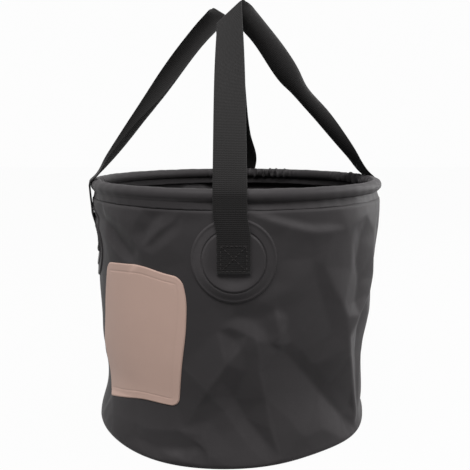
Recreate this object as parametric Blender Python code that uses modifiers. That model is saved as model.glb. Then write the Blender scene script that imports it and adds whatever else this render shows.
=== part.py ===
"""Collapsible camp bucket: a soft fabric tube on a round base, a hoop in a sewn rim sleeve,
and two webbing handles that fold over diagonal creases above the middle.

Metres, +Z up. The origin is the centre of the base's underside. The front, where the label is
to the left of one handle leg, faces -Y. An azimuth of 0 points to -Y and 90 degrees to +X.
"""

import math

import bmesh
import bpy
import numpy as np
from mathutils import Matrix, Vector
from mathutils.bvhtree import BVHTree
from mathutils.geometry import delaunay_2d_cdt

# Clearance between pieces that touch
FIT = 0.0003

# Coated fabric of the wall, base and rim sleeve
FABRIC = 0.0008

# Rim: the hoop's centre circle, the sleeve's round channel and its hem
RIM_RADIUS = 0.125
RIM_HEIGHT = 0.215
CHANNEL_RADIUS = 0.005
HEM_DROP = 0.0055
WALL_TOP_DROP = 0.0019

# Hoop: a plastic tube in the sleeve, and the plug in its two ends
HOOP_WALL = 0.0012
HOOP_END_GAP = 0.001
HOOP_JOINT_AZIMUTH = 210.0
JOINER_LENGTH = 0.040

# Wall: how far it stands out or in from its neck under the rim, and where
BULGE_OUT = 0.0036
BULGE_DROP = 0.0145
WAIST_IN = 0.0060
WAIST_HEIGHT_SHARE = 0.235
FOOT_IN = 0.0012
CORNER_RADIUS = 0.004
CORNER_START_DEGREES = 50.0
BASE_FLANGE = 0.010

# Main folds of the soft wall: lines of (azimuth in degrees, share of the rim's height, share of the
# fold depth), where a positive share stands out and a negative one lies in
FOLD_DEPTH = 0.005
FOLD_SHARES = (
    ((-2.0, 0.440, 0.7), (-5.5, 0.395, 1.0), (-9.6, 0.325, 1.1), (-13.7, 0.245, 1.0), (-20.0, 0.15, 0.6)),
    ((-4.5, 0.318, 0.7), (-0.9, 0.269, 0.7), (2.8, 0.230, 0.7), (7.5, 0.157, 0.5), (12.6, 0.076, 0.2)),
    ((4.9, 0.425, -0.5), (7.7, 0.374, -0.8), (9.7, 0.315, -1.0), (12.3, 0.234, -0.9), (14.7, 0.146, -0.6)),
    ((18.2, 0.433, -0.4), (22.1, 0.384, -0.8), (30.7, 0.275, -1.0), (40.8, 0.191, -0.9), (52.0, 0.095, -0.4)),
    ((23.0, 0.186, 0.6), (26.0, 0.093, 0.6), (41.0, 0.084, 0.5)),
    ((16.8, 0.594, 0.5), (16.2, 0.550, 0.7), (15.3, 0.503, 0.6)),
    ((32.4, 0.744, 0.5), (35.8, 0.674, 0.6), (41.5, 0.588, 0.8)),
    ((41.5, 0.588, 0.8), (46.9, 0.419, 1.0), (54.5, 0.242, 0.7), (58.8, 0.085, 0.2)),
    ((63.0, 0.831, 0.4), (63.0, 0.755, 0.6), (64.3, 0.652, 0.6), (60.5, 0.588, 0.7), (52.8, 0.500, 0.8)),
    ((50.0, 0.735, -0.2), (53.0, 0.651, -0.2)),
    ((32.5, 0.614, -0.4), (36.0, 0.530, -0.2)),
    ((58.0, 0.512, -0.4), (61.0, 0.434, -0.7), (62.5, 0.344, -0.6), (63.5, 0.270, -0.3)),
    ((70.0, 0.484, 0.2), (72.0, 0.395, 0.4), (71.0, 0.307, 0.2)),
    ((17.9, 0.896, 0.5), (24.4, 0.877, 0.6), (34.9, 0.869, 0.6), (46.0, 0.893, 0.4), (58.0, 0.915, 0.2)),
    ((-51.7, 0.888, -0.6), (-44.9, 0.844, -0.7), (-39.8, 0.795, -0.6)),
    ((96.0, 0.549, 0.2), (90.0, 0.447, 0.6), (87.0, 0.335, 0.4), (90.0, 0.205, -0.4)),
    ((118.0, 0.586, -0.2), (112.0, 0.465, -0.6), (116.0, 0.326, 0.1), (121.0, 0.205, 0.7)),
    ((128.0, 0.698, 0.1), (127.0, 0.567, 0.6), (126.0, 0.428, 0.7), (129.0, 0.279, -0.1)),
    ((152.0, 0.279, -0.4), (157.0, 0.391, -0.7), (164.0, 0.502, 0.1), (173.0, 0.563, 0.6)),
    ((180.0, 0.540, 0.3), (176.0, 0.409, 0.8), (171.0, 0.279, 0.7), (168.0, 0.149, 0.3)),
    ((182.0, 0.500, -0.3), (187.0, 0.428, -0.7), (196.0, 0.307, -0.8), (209.0, 0.177, -0.6)),
    ((198.0, 0.521, 0.5), (207.0, 0.391, 0.7), (219.0, 0.279, 0.6), (228.0, 0.167, 0.4)),
    ((207.0, 0.725, 0.5), (206.0, 0.595, 0.3), (216.0, 0.521, -0.4), (230.0, 0.428, -0.6), (238.0, 0.3, 0.2)),
    ((236.0, 0.698, 0.2), (244.0, 0.595, 0.7), (241.0, 0.484, 0.8), (247.0, 0.353, 0.2), (252.0, 0.18, 0.5)),
    ((258.0, 0.465, -0.5), (264.0, 0.335, -0.6), (262.0, 0.205, 0.1)),
    ((124.0, 0.893, -0.5), (133.0, 0.870, -0.5)),
    ((207.0, 0.888, 0.5), (220.0, 0.870, 0.6), (232.0, 0.884, 0.4)),
)

# Boxes inside the wall that stay open for water or goods: half sizes to the side and to the front
# as shares of the rim's radius, and the room that a fold leaves at their corners
OPEN_SHARES = ((0.664, 0.664), (0.856, 0.384), (0.384, 0.856))
OPEN_MARGIN = 0.0008

# Seam tape on the wall's upright seam
SEAM_AZIMUTH = 140.0
SEAM_WIDTH = 0.018
TAPE = 0.0004
TAPE_MARGIN = 0.0015

# Round patches that carry the webbing
PATCH_RADIUS = 0.0325
DISC_RADIUS = 0.0235
PATCH_DROP = 0.048
DISC_THICKNESS = 0.0016

# Label on the left front, between two patches
LABEL_MARGIN = 0.0045
LABEL_HEIGHT = 0.116
LABEL_CENTRE_SHARE = 0.485
LABEL_THICKNESS = 0.001
LABEL_CORNER = 0.008

# Webbing
WEB_WIDTH = 0.025
WEB = 0.0014
END_BELOW_PATCH_CENTRE = 0.0115
END_FOLD_LENGTH = 0.0035
END_FOLD_EXTRA = 0.0008
STRAP_AZIMUTHS = {"front": -2.0, "right": 102.0, "back": 178.0, "left": 282.0}

# Box seam on each webbing end
SEAM_INSET = 0.003
THREAD_WIDTH = 0.0009
THREAD_THICKNESS = 0.0005

# Handles: where each crease lies, which way it runs, and how the legs leave rim and crease
HANDLE_RISE = 0.147
FOLD_RADIUS = 0.0022
HINGE_CLEARANCE = 0.002
RIM_LEAD = 0.022
CREASE_LEAD = 0.012
HANDLES = {
    "a": {
        "legs": ("front", "right"),
        "turn": 0.0,
        "crease_offset_shares": (-0.23, -0.44, 0.0),
        "crease_direction_shares": (0.746, -0.033, 0.666),
        "twist_shares": ((0.35, 0.95), (0.05, 0.75)),
    },
    "b": {
        "legs": ("back", "left"),
        "turn": 180.0,
        "crease_offset_shares": (0.34, -0.26, -0.04),
        "crease_direction_shares": (0.826, -0.214, 0.522),
        "twist_shares": ((0.35, 0.95), (0.0, 0.95)),
    },
}

# How finely round and long pieces are divided
SEGMENTS = 48
CHANNEL_STEPS = 12
BORE_STEPS = 8
JOINER_STEPS = 16
WALL_STEPS = 14
NECK_STEPS = 3
WALL_CORNER_STEPS = 3
BASE_CORNER_STEPS = 4
FLANGE_STEPS = 3
TAPE_STEPS = 18
LABEL_STEPS = 10
LABEL_CORNER_STEPS = 4
PATCH_STEPS = 32
STRAP_END_STEPS = 4
HEM_STEPS = 2
FOOT_STEPS = 6
LEG_STEPS = 16
FOLD_STEPS = 5
SPLIT_ROUNDS = 40
MERGE_DISTANCE = 0.00001

# Folds keep off what lies flat on the wall by one cell of the wall's mesh, and grow over half a cell
QUIET_CELLS = 1.0
GROWTH_CELLS = 0.5
QUIET_STEPS = 36

# Sizes worked out from the ones above
NECK_RADIUS = RIM_RADIUS + FABRIC / 2
BULGE_HEIGHT = RIM_HEIGHT - BULGE_DROP
WAIST_HEIGHT = RIM_HEIGHT * WAIST_HEIGHT_SHARE
FOOT_RADIUS = NECK_RADIUS - FOOT_IN
CORNER_CENTRE = FOOT_RADIUS - CORNER_RADIUS - FIT - FABRIC
WALL_TOP = RIM_HEIGHT - CHANNEL_RADIUS - WALL_TOP_DROP
HEM_END = RIM_HEIGHT - CHANNEL_RADIUS - HEM_DROP
BORE_RADIUS = CHANNEL_RADIUS - FABRIC
HOOP_RADIUS = BORE_RADIUS - FIT
JOINER_RADIUS = HOOP_RADIUS - HOOP_WALL - FIT
PATCH_HEIGHT = RIM_HEIGHT - PATCH_DROP
STRAP_END = PATCH_HEIGHT - END_BELOW_PATCH_CENTRE
RIM_OUTSIDE = RIM_RADIUS + CHANNEL_RADIUS
STRAP_AT_RIM = RIM_OUTSIDE + FIT + WEB / 2
HALF_WEB = WEB_WIDTH / 2
UP = Vector((0.0, 0.0, 1.0))

# Finishes: material slot, colour and roughness
COATED_FABRIC = ("coated_fabric", (0.055, 0.052, 0.052), 0.62)
WEBBING = ("webbing", (0.028, 0.028, 0.028), 0.85)
LABEL_FILM = ("label_film", (0.43, 0.30, 0.245), 0.55)
TAPE_FILM = ("seam_tape", (0.045, 0.043, 0.043), 0.5)
HOOP_PLASTIC = ("hoop_plastic", (0.03, 0.03, 0.03), 0.4)
THREAD = ("thread", (0.02, 0.02, 0.02), 0.8)


def smoothstep(low, high, value):
    """0 below low, 1 above high, and a smooth rise between them."""
    share = min(max((value - low) / (high - low), 0.0), 1.0)
    return share * share * (3.0 - 2.0 * share)


def wall_radius(height):
    """The wall's outer radius at a height above its rounded foot."""
    stations = (
        (CORNER_RADIUS, FOOT_RADIUS),
        (WAIST_HEIGHT, NECK_RADIUS - WAIST_IN),
        (BULGE_HEIGHT, NECK_RADIUS + BULGE_OUT),
        (HEM_END, NECK_RADIUS),
    )
    radius = stations[0][1]
    for (low, before), (high, after) in zip(stations, stations[1:]):
        if height > low:
            radius = before + (after - before) * smoothstep(low, high, height)
    return radius


def outward(azimuth):
    """The horizontal unit vector that points away from the axis at an azimuth in degrees."""
    angle = math.radians(azimuth)
    return Vector((math.sin(angle), -math.cos(angle), 0.0))


def along_rim(azimuth):
    """The horizontal unit vector along the rim, towards growing azimuth."""
    angle = math.radians(azimuth)
    return Vector((math.cos(angle), math.sin(angle), 0.0))


def collection_named(name):
    found = bpy.data.collections.new(name)
    bpy.context.scene.collection.children.link(found)
    return found


def painted(obj, finish):
    """Gives the object its own material with the colour and roughness of a finish."""
    label, colour, roughness = finish
    material = bpy.data.materials.new(f"{obj.name}_{label}")
    material.use_nodes = True
    shader = material.node_tree.nodes["Principled BSDF"]
    shader.inputs["Base Color"].default_value = (*colour, 1.0)
    shader.inputs["Roughness"].default_value = roughness
    obj.data.materials.append(material)


def mesh_object(name, vertices, faces, finish, edges=()):
    mesh = bpy.data.meshes.new(name)
    mesh.from_pydata([tuple(vertex) for vertex in vertices], list(edges), faces)
    mesh.validate()
    obj = bpy.data.objects.new(name, mesh)
    parts.objects.link(obj)
    painted(obj, finish)
    return obj


def turned(name, outline, finish, closed):
    """A turned piece: the outline of (radius, height) points goes once round the Z axis."""
    count = len(outline)
    edges = [(i, i + 1) for i in range(count - 1)]
    if closed:
        edges.append((count - 1, 0))
    points = [(radius, 0.0, height) for radius, height in outline]
    obj = mesh_object(name, points, [], finish, edges)
    screw = obj.modifiers.new("turn", "SCREW")
    screw.axis = "Z"
    screw.angle = 2.0 * math.pi
    screw.steps = SEGMENTS
    screw.render_steps = SEGMENTS
    screw.use_merge_vertices = True
    screw.merge_threshold = MERGE_DISTANCE
    screw.use_smooth_shade = True
    return obj


def arc(centre, radius, start, end, steps):
    """Points (radius, height) on an arc from start to end degrees, 0 being straight out."""
    angles = np.radians(np.linspace(start, end, steps + 1))
    return [(centre[0] + radius * math.cos(a), centre[1] + radius * math.sin(a)) for a in angles]


def heights_between(low, high, steps):
    return [float(height) for height in np.linspace(low, high, steps + 1)]


def label_span():
    """The label's middle azimuth, height and half width, which fills the span between two patches."""
    front, left = STRAP_AZIMUTHS["front"], STRAP_AZIMUTHS["left"] - 360.0
    height = RIM_HEIGHT * LABEL_CENTRE_SHARE
    span = math.radians(front - left) * wall_radius(height)
    patches = 2.0 * PATCH_RADIUS * wall_radius(height) / wall_radius(PATCH_HEIGHT)
    return (front + left) / 2, height, (span - patches) / 2 - LABEL_MARGIN


def room_for_folds(azimuth, height):
    """How far a place on the wall is from what lies flat on it, from the base's flange and the bulge."""

    def arc_from(middle):
        return math.radians(abs((azimuth - middle + 180.0) % 360.0 - 180.0)) * wall_radius(height)

    rooms = [BULGE_HEIGHT - height, height - CORNER_RADIUS - BASE_FLANGE]
    rooms.append(arc_from(SEAM_AZIMUTH) - SEAM_WIDTH / 2)
    for middle in STRAP_AZIMUTHS.values():
        rooms.append(math.hypot(arc_from(middle), height - PATCH_HEIGHT) - PATCH_RADIUS)
    label_azimuth, label_height, half = label_span()
    beside = max(arc_from(label_azimuth) - half, 0.0)
    above = max(abs(height - label_height) - LABEL_HEIGHT / 2, 0.0)
    rooms.append(math.hypot(beside, above))
    return min(rooms)


def lowest_level(azimuth, height):
    """How far in the wall may fold: beside a corner of an open box it stays outside the box."""
    from_side = min(azimuth % 180.0, -azimuth % 180.0)
    lowest = -2.0 * FOLD_DEPTH
    for wide, deep in OPEN_SHARES:
        if abs(from_side - math.degrees(math.atan2(wide, deep))) < 360.0 / SEGMENTS:
            kept = math.hypot(wide, deep) * RIM_RADIUS + OPEN_MARGIN
            lowest = min(max(lowest, kept - wall_radius(height) + FABRIC), 0.0)
    return lowest


def fold_sheet():
    """A sheet over arc length and height: its level is the offset, and the fold lines are its edges."""
    around = 2.0 * math.pi * RIM_RADIUS
    scale = np.array((around / 360.0, RIM_HEIGHT, FOLD_DEPTH))
    lines = [(np.array(shares) * scale).tolist() for shares in FOLD_SHARES]
    for row in (0.0, RIM_HEIGHT):
        lines += [[(step * around / QUIET_STEPS, row, 0.0)] for step in range(QUIET_STEPS)]
    places, levels, edges = [], [], []
    for turn in (-around, 0.0, around):
        for line in lines:
            first = len(places)
            places += [Vector((arc + turn, height)) for arc, height, _ in line]
            levels += [level for _, _, level in line]
            edges += [(first + step, first + step + 1) for step in range(len(line) - 1)]
    corners, _, triangles, sources, _, _ = delaunay_2d_cdt(places, edges, [], 0, MERGE_DISTANCE)
    points = [(*corner, levels[source[0]] if source else 0.0) for corner, source in zip(corners, sources)]
    return BVHTree.FromPolygons(points, triangles)


def fold(obj):
    """Makes a turned wall's mesh final, and moves its points in or out by the fold sheet."""
    sheet = fold_sheet()
    cell = 2.0 * math.pi * RIM_RADIUS / SEGMENTS
    bpy.context.view_layer.update()
    mesh = bpy.data.meshes.new_from_object(obj.evaluated_get(bpy.context.evaluated_depsgraph_get()))
    obj.modifiers.clear()
    obj.data = mesh
    for vertex in mesh.vertices:
        x, y, height = vertex.co
        azimuth = math.degrees(math.atan2(x, -y))
        cells = room_for_folds(azimuth, height) / cell
        share = min(max((cells - QUIET_CELLS) / GROWTH_CELLS, 0.0), 1.0)
        if share > 0.0:
            over = Vector((math.radians(azimuth) * RIM_RADIUS, height, 2.0 * FOLD_DEPTH))
            level = sheet.ray_cast(over, -UP)[0].z
            vertex.co += outward(azimuth) * max(level * share, lowest_level(azimuth, height))


def make_side_wall():
    """The wall runs from inside the hem, over the bulge and the waist, to under the base's corner."""
    corner = (CORNER_CENTRE, CORNER_RADIUS)
    end = CORNER_START_DEGREES - 90.0
    outer_corner = arc(corner, CORNER_RADIUS + FIT + FABRIC, 0.0, end, WALL_CORNER_STEPS)
    inner_corner = arc(corner, CORNER_RADIUS + FIT, 0.0, end, WALL_CORNER_STEPS)
    heights = [WALL_TOP, *heights_between(HEM_END, BULGE_HEIGHT, NECK_STEPS)]
    heights += heights_between(BULGE_HEIGHT, CORNER_RADIUS, WALL_STEPS)[1:-1]
    outer = [(wall_radius(height), height) for height in heights]
    inner = [(radius - FABRIC, height) for radius, height in outer]
    outline = outer + outer_corner + inner_corner[::-1] + inner[::-1]
    fold(turned("side_wall", outline, COATED_FABRIC, True))


def make_base_panel():
    """A dish: the flat base, its rounded corner and the flange that is welded inside the wall."""
    top = CORNER_RADIUS + BASE_FLANGE
    heights = heights_between(top, CORNER_RADIUS, FLANGE_STEPS)[:-1]
    outer = [(wall_radius(height) - FABRIC - FIT, height) for height in heights]
    inner = [(radius - FABRIC, height) for radius, height in outer]
    corner = (CORNER_CENTRE, CORNER_RADIUS)
    outer_corner = arc(corner, CORNER_RADIUS, 0.0, -90.0, BASE_CORNER_STEPS)
    inner_corner = arc(corner, CORNER_RADIUS - FABRIC, 0.0, -90.0, BASE_CORNER_STEPS)
    inside = [(0.0, FABRIC), *inner_corner[::-1], *inner[::-1]]
    outline = [*inside, *outer, *outer_corner, (0.0, 0.0)]
    return turned("base_panel", outline, COATED_FABRIC, False)


def channel_arc(radius, half_gap, steps):
    """The round channel's section, open at the bottom where the two hem legs leave it."""
    opening = math.degrees(math.asin(half_gap / radius))
    return arc((RIM_RADIUS, RIM_HEIGHT), radius, 270.0 - opening, -90.0 + opening, steps)


def make_rim_sleeve():
    """A keyhole section: a round channel for the hoop, and a hem leg on each side of the wall's top."""
    inside = FABRIC / 2 + FIT
    outside = inside + FABRIC
    outer = channel_arc(CHANNEL_RADIUS, outside, CHANNEL_STEPS)
    bore = channel_arc(BORE_RADIUS, inside, BORE_STEPS)
    outer_leg = [(RIM_RADIUS + outside, HEM_END), (RIM_RADIUS + inside, HEM_END)]
    inner_leg = [(RIM_RADIUS - inside, HEM_END), (RIM_RADIUS - outside, HEM_END)]
    return turned("rim_sleeve", outer + outer_leg + bore[::-1] + inner_leg, COATED_FABRIC, True)


def ring_points(azimuths, radius, section_radius, sides):
    """Sections of a ring tube at the rim's height, one for each azimuth."""
    points = []
    for azimuth in azimuths:
        out = outward(azimuth)
        for angle in np.linspace(0.0, 2.0 * math.pi, sides, endpoint=False):
            reach = radius + section_radius * math.cos(angle)
            height = RIM_HEIGHT + section_radius * math.sin(angle)
            points.append(out * reach + UP * height)
    return points


def bent_tube(name, azimuths, section_radius, bore_radius, sides, finish):
    """A tube bent along part of the rim, with a bore if bore_radius isn't 0, and ring-shaped ends."""
    rings = len(azimuths)
    vertices = ring_points(azimuths, RIM_RADIUS, section_radius, sides)
    faces = []

    def skin(first, flip):
        for ring in range(rings - 1):
            for side in range(sides):
                a = first + ring * sides + side
                b = first + ring * sides + (side + 1) % sides
                quad = (a, b, b + sides, a + sides)
                faces.append(quad[::-1] if flip else quad)

    skin(0, False)
    last = (rings - 1) * sides
    if bore_radius:
        bore = len(vertices)
        vertices += ring_points(azimuths, RIM_RADIUS, bore_radius, sides)
        skin(bore, True)
        for side in range(sides):
            after = (side + 1) % sides
            faces.append((side, bore + side, bore + after, after))
            faces.append((last + after, last + bore + after, last + bore + side, last + side))
    else:
        faces.append(tuple(range(sides))[::-1])
        faces.append(tuple(range(last, last + sides)))
    obj = mesh_object(name, vertices, faces, finish)
    face_outwards(obj)
    return obj


def face_outwards(obj):
    """Turns the faces of a closed mesh to point out."""
    shape = bmesh.new()
    shape.from_mesh(obj.data)
    bmesh.ops.recalc_face_normals(shape, faces=shape.faces)
    if shape.calc_volume(signed=True) < 0.0:
        bmesh.ops.reverse_faces(shape, faces=shape.faces)
    shape.to_mesh(obj.data)
    shape.free()


def make_hoop():
    """The hoop is a tube bent to a ring; its two ends meet over the joiner's plug."""
    half_gap = math.degrees(HOOP_END_GAP / RIM_RADIUS) / 2
    step = 360.0 / SEGMENTS
    first = round(HOOP_JOINT_AZIMUTH / step) * step
    azimuths = first + np.linspace(0.0, 360.0, SEGMENTS + 1)
    azimuths[0] += half_gap
    azimuths[-1] -= half_gap
    bore = HOOP_RADIUS - HOOP_WALL
    hoop = bent_tube("rim_hoop", azimuths, HOOP_RADIUS, bore, BORE_STEPS, HOOP_PLASTIC)
    half = math.degrees(JOINER_LENGTH / 2 / RIM_RADIUS)
    azimuths = first + np.linspace(-half, half, JOINER_STEPS + 1)
    joiner = bent_tube("hoop_joiner", azimuths, JOINER_RADIUS, 0.0, BORE_STEPS, HOOP_PLASTIC)
    return [hoop, joiner]


def on_wall(azimuth, height, across, up, offset):
    """The point that lies across and up from a spot on the wall, at an offset from its outside."""
    turn = math.degrees(across / wall_radius(height))
    place = height + up
    point = outward(azimuth + turn) * (wall_radius(place) + offset)
    point.z = place
    return point


def round_plate(name, azimuth, rings, has_hole, offsets, finish):
    """A round plate that follows the wall: ring radii from its edge in, and a hole or none."""
    angles = np.linspace(0.0, 2.0 * math.pi, PATCH_STEPS, endpoint=False)
    vertices, faces = [], []
    for offset in offsets:
        for radius in rings:
            for angle in angles:
                across, up = radius * math.cos(angle), radius * math.sin(angle)
                vertices.append(on_wall(azimuth, PATCH_HEIGHT, across, up, offset))
    layer = len(rings) * PATCH_STEPS
    inmost = layer - PATCH_STEPS
    if not has_hole:
        vertices += [on_wall(azimuth, PATCH_HEIGHT, 0.0, 0.0, offset) for offset in offsets]
    for step in range(PATCH_STEPS):
        after = (step + 1) % PATCH_STEPS
        for level in range(len(offsets)):
            base = level * layer
            for ring in range(len(rings) - 1):
                a = base + ring * PATCH_STEPS + step
                b = base + ring * PATCH_STEPS + after
                faces.append((a, b, b + PATCH_STEPS, a + PATCH_STEPS))
            if not has_hole:
                centre = len(offsets) * layer + level
                faces.append((base + inmost + step, base + inmost + after, centre))
        faces.append((step, after, layer + after, layer + step))
        if has_hole:
            a, b = inmost + step, inmost + after
            faces.append((a, b, layer + b, layer + a))
    obj = mesh_object(name, vertices, faces, finish)
    face_outwards(obj)
    return obj


def panel_plate(name, azimuth, height, columns, offsets, steps_up, finish):
    """A plate that follows the wall, made of columns (across, low, high) from left to right."""
    count, rows = len(columns), steps_up + 1
    vertices, faces = [], []
    for offset in offsets:
        for across, low, high in columns:
            for up in heights_between(low, high, steps_up):
                vertices.append(on_wall(azimuth, height, across, up, offset))
    layer = count * rows
    for column in range(count - 1):
        for row in range(steps_up):
            a = column * rows + row
            quad = (a, a + rows, a + rows + 1, a + 1)
            faces.append(quad)
            faces.append(tuple(layer + index for index in quad[::-1]))
        for edge in (column * rows, column * rows + steps_up):
            faces.append((edge, edge + rows, edge + rows + layer, edge + layer))
    for row in range(steps_up):
        for edge in (row, (count - 1) * rows + row):
            faces.append((edge, edge + 1, edge + 1 + layer, edge + layer))
    obj = mesh_object(name, vertices, faces, finish)
    face_outwards(obj)
    return obj


def make_label():
    """The label fills the span between the left and front patches, with rounded corners."""
    azimuth, height, half = label_span()
    columns = []
    corner = LABEL_CORNER * np.sin(np.radians(np.linspace(0.0, 90.0, LABEL_CORNER_STEPS + 1)))
    lefts = -half + LABEL_CORNER - corner[::-1]
    middle = np.linspace(lefts[-1], -lefts[-1], LABEL_STEPS + 1)[1:-1]
    for across in [*lefts, *middle, *(-lefts[::-1])]:
        depth = max(abs(across) - (half - LABEL_CORNER), 0.0)
        short = LABEL_CORNER - math.sqrt(max(LABEL_CORNER**2 - depth**2, 0.0))
        columns.append((float(across), short - LABEL_HEIGHT / 2, LABEL_HEIGHT / 2 - short))
    offsets = (FIT, FIT + LABEL_THICKNESS)
    return panel_plate("label_patch", azimuth, height, columns, offsets, LABEL_STEPS, LABEL_FILM)


def make_seam_tape():
    """The tape covers the wall's upright seam, from above the foot to the bulge under the hem."""
    middle = (BULGE_HEIGHT + CORNER_RADIUS) / 2
    reach = (BULGE_HEIGHT - CORNER_RADIUS) / 2 - TAPE_MARGIN
    columns = [(across, -reach, reach) for across in (-SEAM_WIDTH / 2, 0.0, SEAM_WIDTH / 2)]
    offsets = (FIT, FIT + TAPE)
    return panel_plate("seam_tape", SEAM_AZIMUTH, middle, columns, offsets, TAPE_STEPS, TAPE_FILM)


def make_patch(place, azimuth):
    """A welded flange ring round a thicker disc, which the webbing end is sewn to."""
    rings, offsets = (PATCH_RADIUS, DISC_RADIUS + FIT), (FIT, FIT + FABRIC)
    round_plate(f"patch_flange_{place}", azimuth, rings, True, offsets, COATED_FABRIC)
    rings, offsets = (DISC_RADIUS, DISC_RADIUS / 2), (FIT, FIT + DISC_THICKNESS)
    round_plate(f"patch_disc_{place}", azimuth, rings, False, offsets, COATED_FABRIC)


def ribbon(name, stations, finish):
    """A webbing solid lofted through stations (centre, half width vector, thickness vectors)."""
    vertices = []
    for centre, half, (inner, outer) in stations:
        vertices += [centre - half + inner, centre + half + inner]
        vertices += [centre + half + outer, centre - half + outer]
    faces = [(0, 1, 2, 3)]
    for station in range(len(stations) - 1):
        for corner in range(4):
            a, b = 4 * station + corner, 4 * station + (corner + 1) % 4
            faces.append((a, b, b + 4, a + 4))
    last = 4 * (len(stations) - 1)
    faces.append((last + 3, last + 2, last + 1, last))
    obj = mesh_object(name, vertices, faces, finish)
    face_outwards(obj)
    return obj


def strap_radius(height):
    """The webbing's middle radius below the rim: on the disc, then straight to the rim's outside."""
    disc_top = PATCH_HEIGHT + DISC_RADIUS
    stack = FIT + DISC_THICKNESS + FIT + WEB / 2
    on_disc = wall_radius(min(height, disc_top)) + stack
    share = min(max((height - disc_top) / (RIM_HEIGHT - disc_top), 0.0), 1.0)
    return on_disc + (STRAP_AT_RIM - on_disc) * share


def make_strap_end(place, azimuth):
    """The sewn webbing end: its folded edge, the stretch over the disc, and up to under the hem."""
    out, across = outward(azimuth), along_rim(azimuth) * HALF_WEB
    fold_top = STRAP_END + END_FOLD_LENGTH
    disc_top = PATCH_HEIGHT + DISC_RADIUS
    above = heights_between(fold_top + END_FOLD_EXTRA, disc_top, STRAP_END_STEPS)
    stations = []
    for height in [STRAP_END, fold_top, *above, HEM_END - 2 * FIT]:
        extra = END_FOLD_EXTRA if height <= fold_top else 0.0
        centre = out * strap_radius(height) + UP * height
        stations.append((centre, across, (out * (-WEB / 2), out * (WEB / 2 + extra))))
    return ribbon(f"strap_end_{place}", stations, WEBBING)


def box_outlines(half):
    """A square and the four triangles that its two diagonals of thread leave open."""
    diagonal = THREAD_WIDTH / 2 * math.sqrt(2.0)
    reach = half - THREAD_WIDTH
    outlines = [[(-half, -half), (half, -half), (half, half), (-half, half)]]
    triangle = [(diagonal - reach, -reach), (reach - diagonal, -reach), (0.0, -diagonal)]
    for quarter in range(4):
        turn = Matrix.Rotation(quarter * math.pi / 2, 2)
        outlines.append([tuple(turn @ Vector(point)) for point in triangle])
    return outlines


def make_box_seam(place, azimuth):
    """The seam through webbing and disc: a square of thread with two diagonals, as one flat piece."""
    half = HALF_WEB - SEAM_INSET
    curve = bpy.data.curves.new(f"box_seam_{place}", "CURVE")
    curve.dimensions = "2D"
    curve.fill_mode = "BOTH"
    curve.extrude = THREAD_THICKNESS / 2
    for outline in box_outlines(half):
        spline = curve.splines.new("POLY")
        spline.points.add(len(outline) - 1)
        for point, (x, y) in zip(spline.points, outline):
            point.co = (x, y, 0.0, 1.0)
        spline.use_cyclic_u = True
    obj = bpy.data.objects.new(f"box_seam_{place}", curve)
    parts.objects.link(obj)
    painted(obj, THREAD)
    bottom = STRAP_END + END_FOLD_LENGTH + END_FOLD_EXTRA
    top = bottom + 2 * half
    out, across = outward(azimuth), along_rim(azimuth)
    middle = out * (strap_radius(bottom) + strap_radius(top)) / 2
    rise = out * (strap_radius(top) - strap_radius(bottom)) + UP * (top - bottom)
    rise.normalize()
    normal = across.cross(rise)
    bulge = max(strap_radius((bottom + top) / 2) - middle.length, 0.0)
    lift = WEB / 2 + FIT + THREAD_THICKNESS / 2 + bulge
    middle.z = (bottom + top) / 2
    frame = Matrix((across, rise, normal)).transposed().to_4x4()
    obj.matrix_world = Matrix.Translation(middle + normal * lift) @ frame


def bezier(points, share):
    """Place and direction on a cubic curve."""
    a, b, c, d = points
    rest = 1.0 - share
    place = a * rest**3 + b * 3.0 * rest**2 * share + c * 3.0 * rest * share**2 + d * share**3
    way = (b - a) * rest**2 + (c - b) * 2.0 * rest * share + (d - c) * share**2
    return place, way.normalized()


def square_to(vector, way):
    """The unit vector along the part of vector that is square to way."""
    return (vector - way * vector.dot(way)).normalized()


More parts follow.
